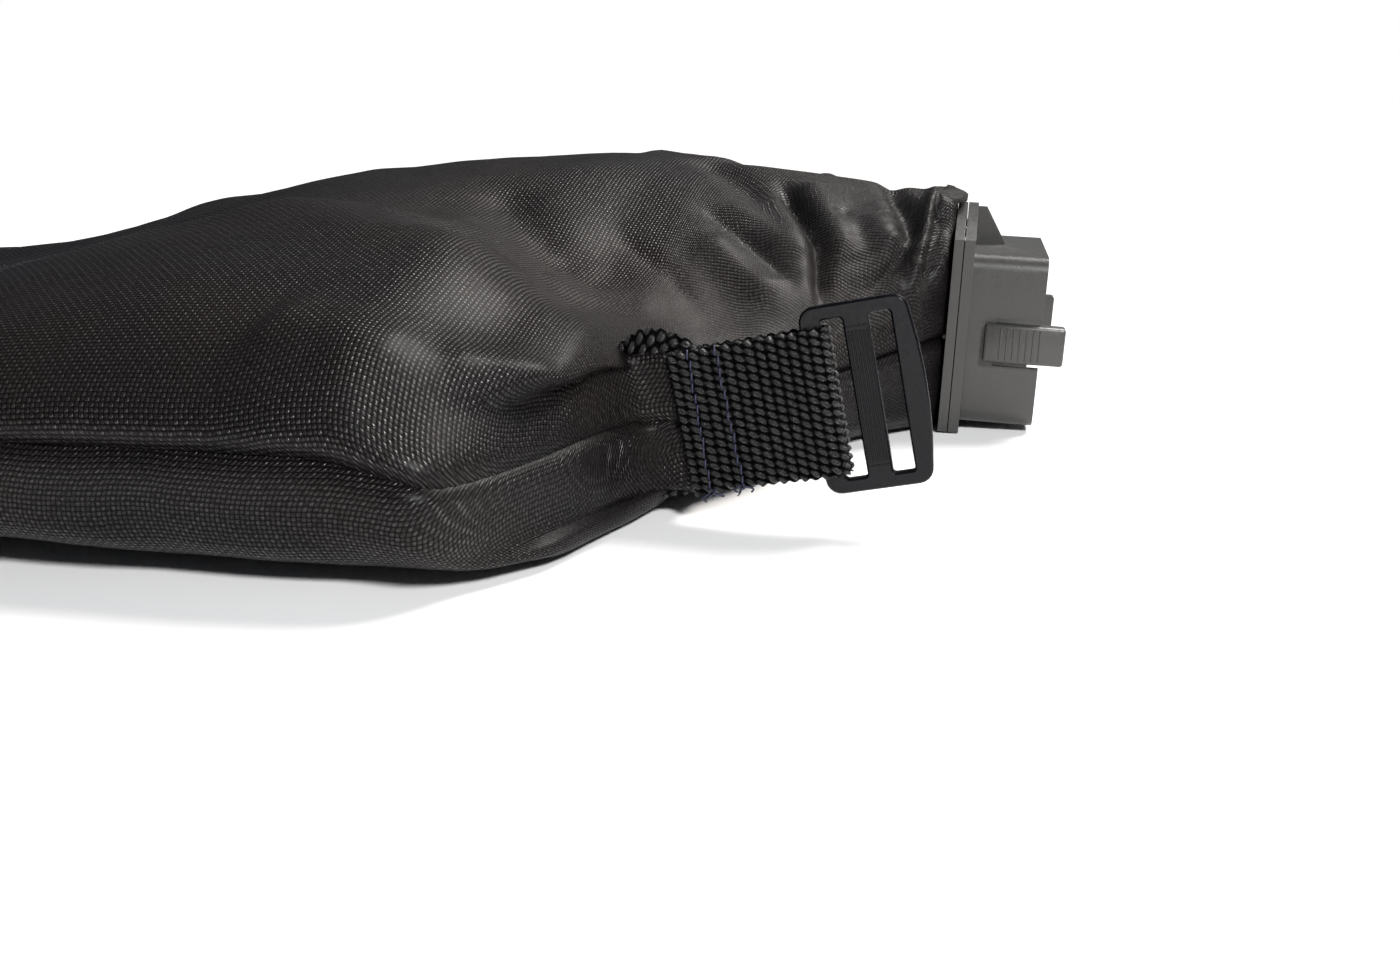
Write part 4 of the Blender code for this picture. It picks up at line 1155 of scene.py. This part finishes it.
def make_zip():
    comb_of_teeth()
    tape_stitches()
    tape_ends()
    for node, name in (("zip_tape_upper", "tape_upper"), ("zip_tape_lower", "tape_lower")):
        tape = rounded_copy(node, name, tape_cloth, 0.15 * MM)
        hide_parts(node)
        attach(tape, "bag")
    for node, name, body in (
        ("zip_stop_near", "stop_near", "bag"),
        ("zip_stop_far", "stop_far", "bag"),
        ("zip_slider", "slider_body", "zip_runner"),
        ("zip_pull", "pull_tab", "pull_tongue"),
    ):
        piece = rounded_copy(node, name, steel, 0.28 * MM, 2, 40)
        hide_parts(node)
        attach(piece, body)


# Stage


def make_stage():
    """A plain white floor, which meets the white room at the horizon."""
    bm = bmesh.new()
    bmesh.ops.create_grid(bm, x_segments=1, y_segments=1, size=FLOOR_HALF_WIDTH)
    finish = Finish("white floor", (0.9, 0.9, 0.9), 0.9, specular=0.0)
    piece_from("white_floor", bm, finish.material)


def make_lights():
    """Soft light from behind and above, in a room that is white to the camera and dim in front."""
    world = bpy.data.worlds.new("soft white room")
    bpy.context.scene.world = world
    world.use_nodes = True
    tree = world.node_tree
    light = tree.nodes["Background"]
    light.inputs["Color"].default_value = (0.8, 0.88, 1.0, 1)
    light.inputs["Strength"].default_value = ROOM_LIGHT
    seen = tree.nodes.new("ShaderNodeBackground")
    seen.inputs["Color"].default_value = (1, 1, 1, 1)
    seen.inputs["Strength"].default_value = 1.0
    ray = tree.nodes.new("ShaderNodeLightPath")
    mix = tree.nodes.new("ShaderNodeMixShader")
    tree.links.new(ray.outputs["Is Camera Ray"], mix.inputs[0])
    tree.links.new(light.outputs[0], mix.inputs[1])
    tree.links.new(seen.outputs[0], mix.inputs[2])
    tree.links.new(mix.outputs[0], tree.nodes["World Output"].inputs["Surface"])
    data = bpy.data.lights.new("window", "SUN")
    data.energy = WINDOW_LIGHT
    data.angle = radians(30)
    data.color = (1.0, 0.965, 0.93)
    lamp = in_scene("window", data)
    lamp.rotation_euler = WINDOW_DIRECTION.to_track_quat("-Z", "Y").to_euler()
    data = bpy.data.lights.new("lamp over the camera's right shoulder", "AREA")
    data.shape = "DISK"
    data.size = 0.22
    data.energy = GLINT_LIGHT
    lamp = in_scene("front_lamp", data)
    lamp.location = GLINT_PLACE
    lamp.rotation_euler = (GLINT_AIM - GLINT_PLACE).to_track_quat("-Z", "Y").to_euler()


def make_camera():
    data = bpy.data.cameras.new("camera")
    data.lens = 36
    data.sensor_width = 36
    data.clip_start = 0.01
    camera = in_scene("camera", data)
    camera.location = CAMERA_PLACE
    camera.rotation_euler = (radians(90 - CAMERA_DOWN), 0, radians(CAMERA_TURN))
    bpy.context.scene.camera = camera


bpy.context.scene.view_settings.view_transform = "Standard"
make_camera()
make_lights()
make_stage()

black_fabric = coated_fabric()
webbing = ribbed_webbing()
tape_cloth = zip_tape_cloth()
grey_plastic = grained_plastic(
    "grey moulded plastic",
    colour=(0.047, 0.046, 0.044),
    dark=(0.038, 0.037, 0.036),
    roughness=0.34,
    grain=2600,
    distance=0.04 * MM,
    specular=0.5,
)
black_plastic = grained_plastic(
    "black moulded plastic",
    colour=(0.003, 0.003, 0.0045),
    dark=(0.002, 0.002, 0.003),
    roughness=0.22,
    grain=2200,
    distance=0.008 * MM,
    specular=0.2,
)
steel = plated_steel()
navy_thread = spun_thread("navy thread", (0.02, 0.022, 0.06))
black_thread = spun_thread("black thread", (0.02, 0.02, 0.02))

for name, upper, rings, columns, folds, cut, cut_area in (
    ("upper_panel", True, UPPER_RINGS, UPPER_COLUMNS, UPPER_FOLDS, UPPER_CUT, UPPER_CUT_AREA),
    ("lower_panel", False, LOWER_RINGS, LOWER_COLUMNS, LOWER_FOLDS, LOWER_CUT, LOWER_CUT_AREA),
):
    panel = make_panel(name.replace("panel", "cloth"), upper, rings, columns, folds)
    panel.data.materials.append(black_fabric)
    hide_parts(name)
    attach(panel, "bag")

make_collar()
make_fasteners()
make_tab()
make_slide()
make_zip()
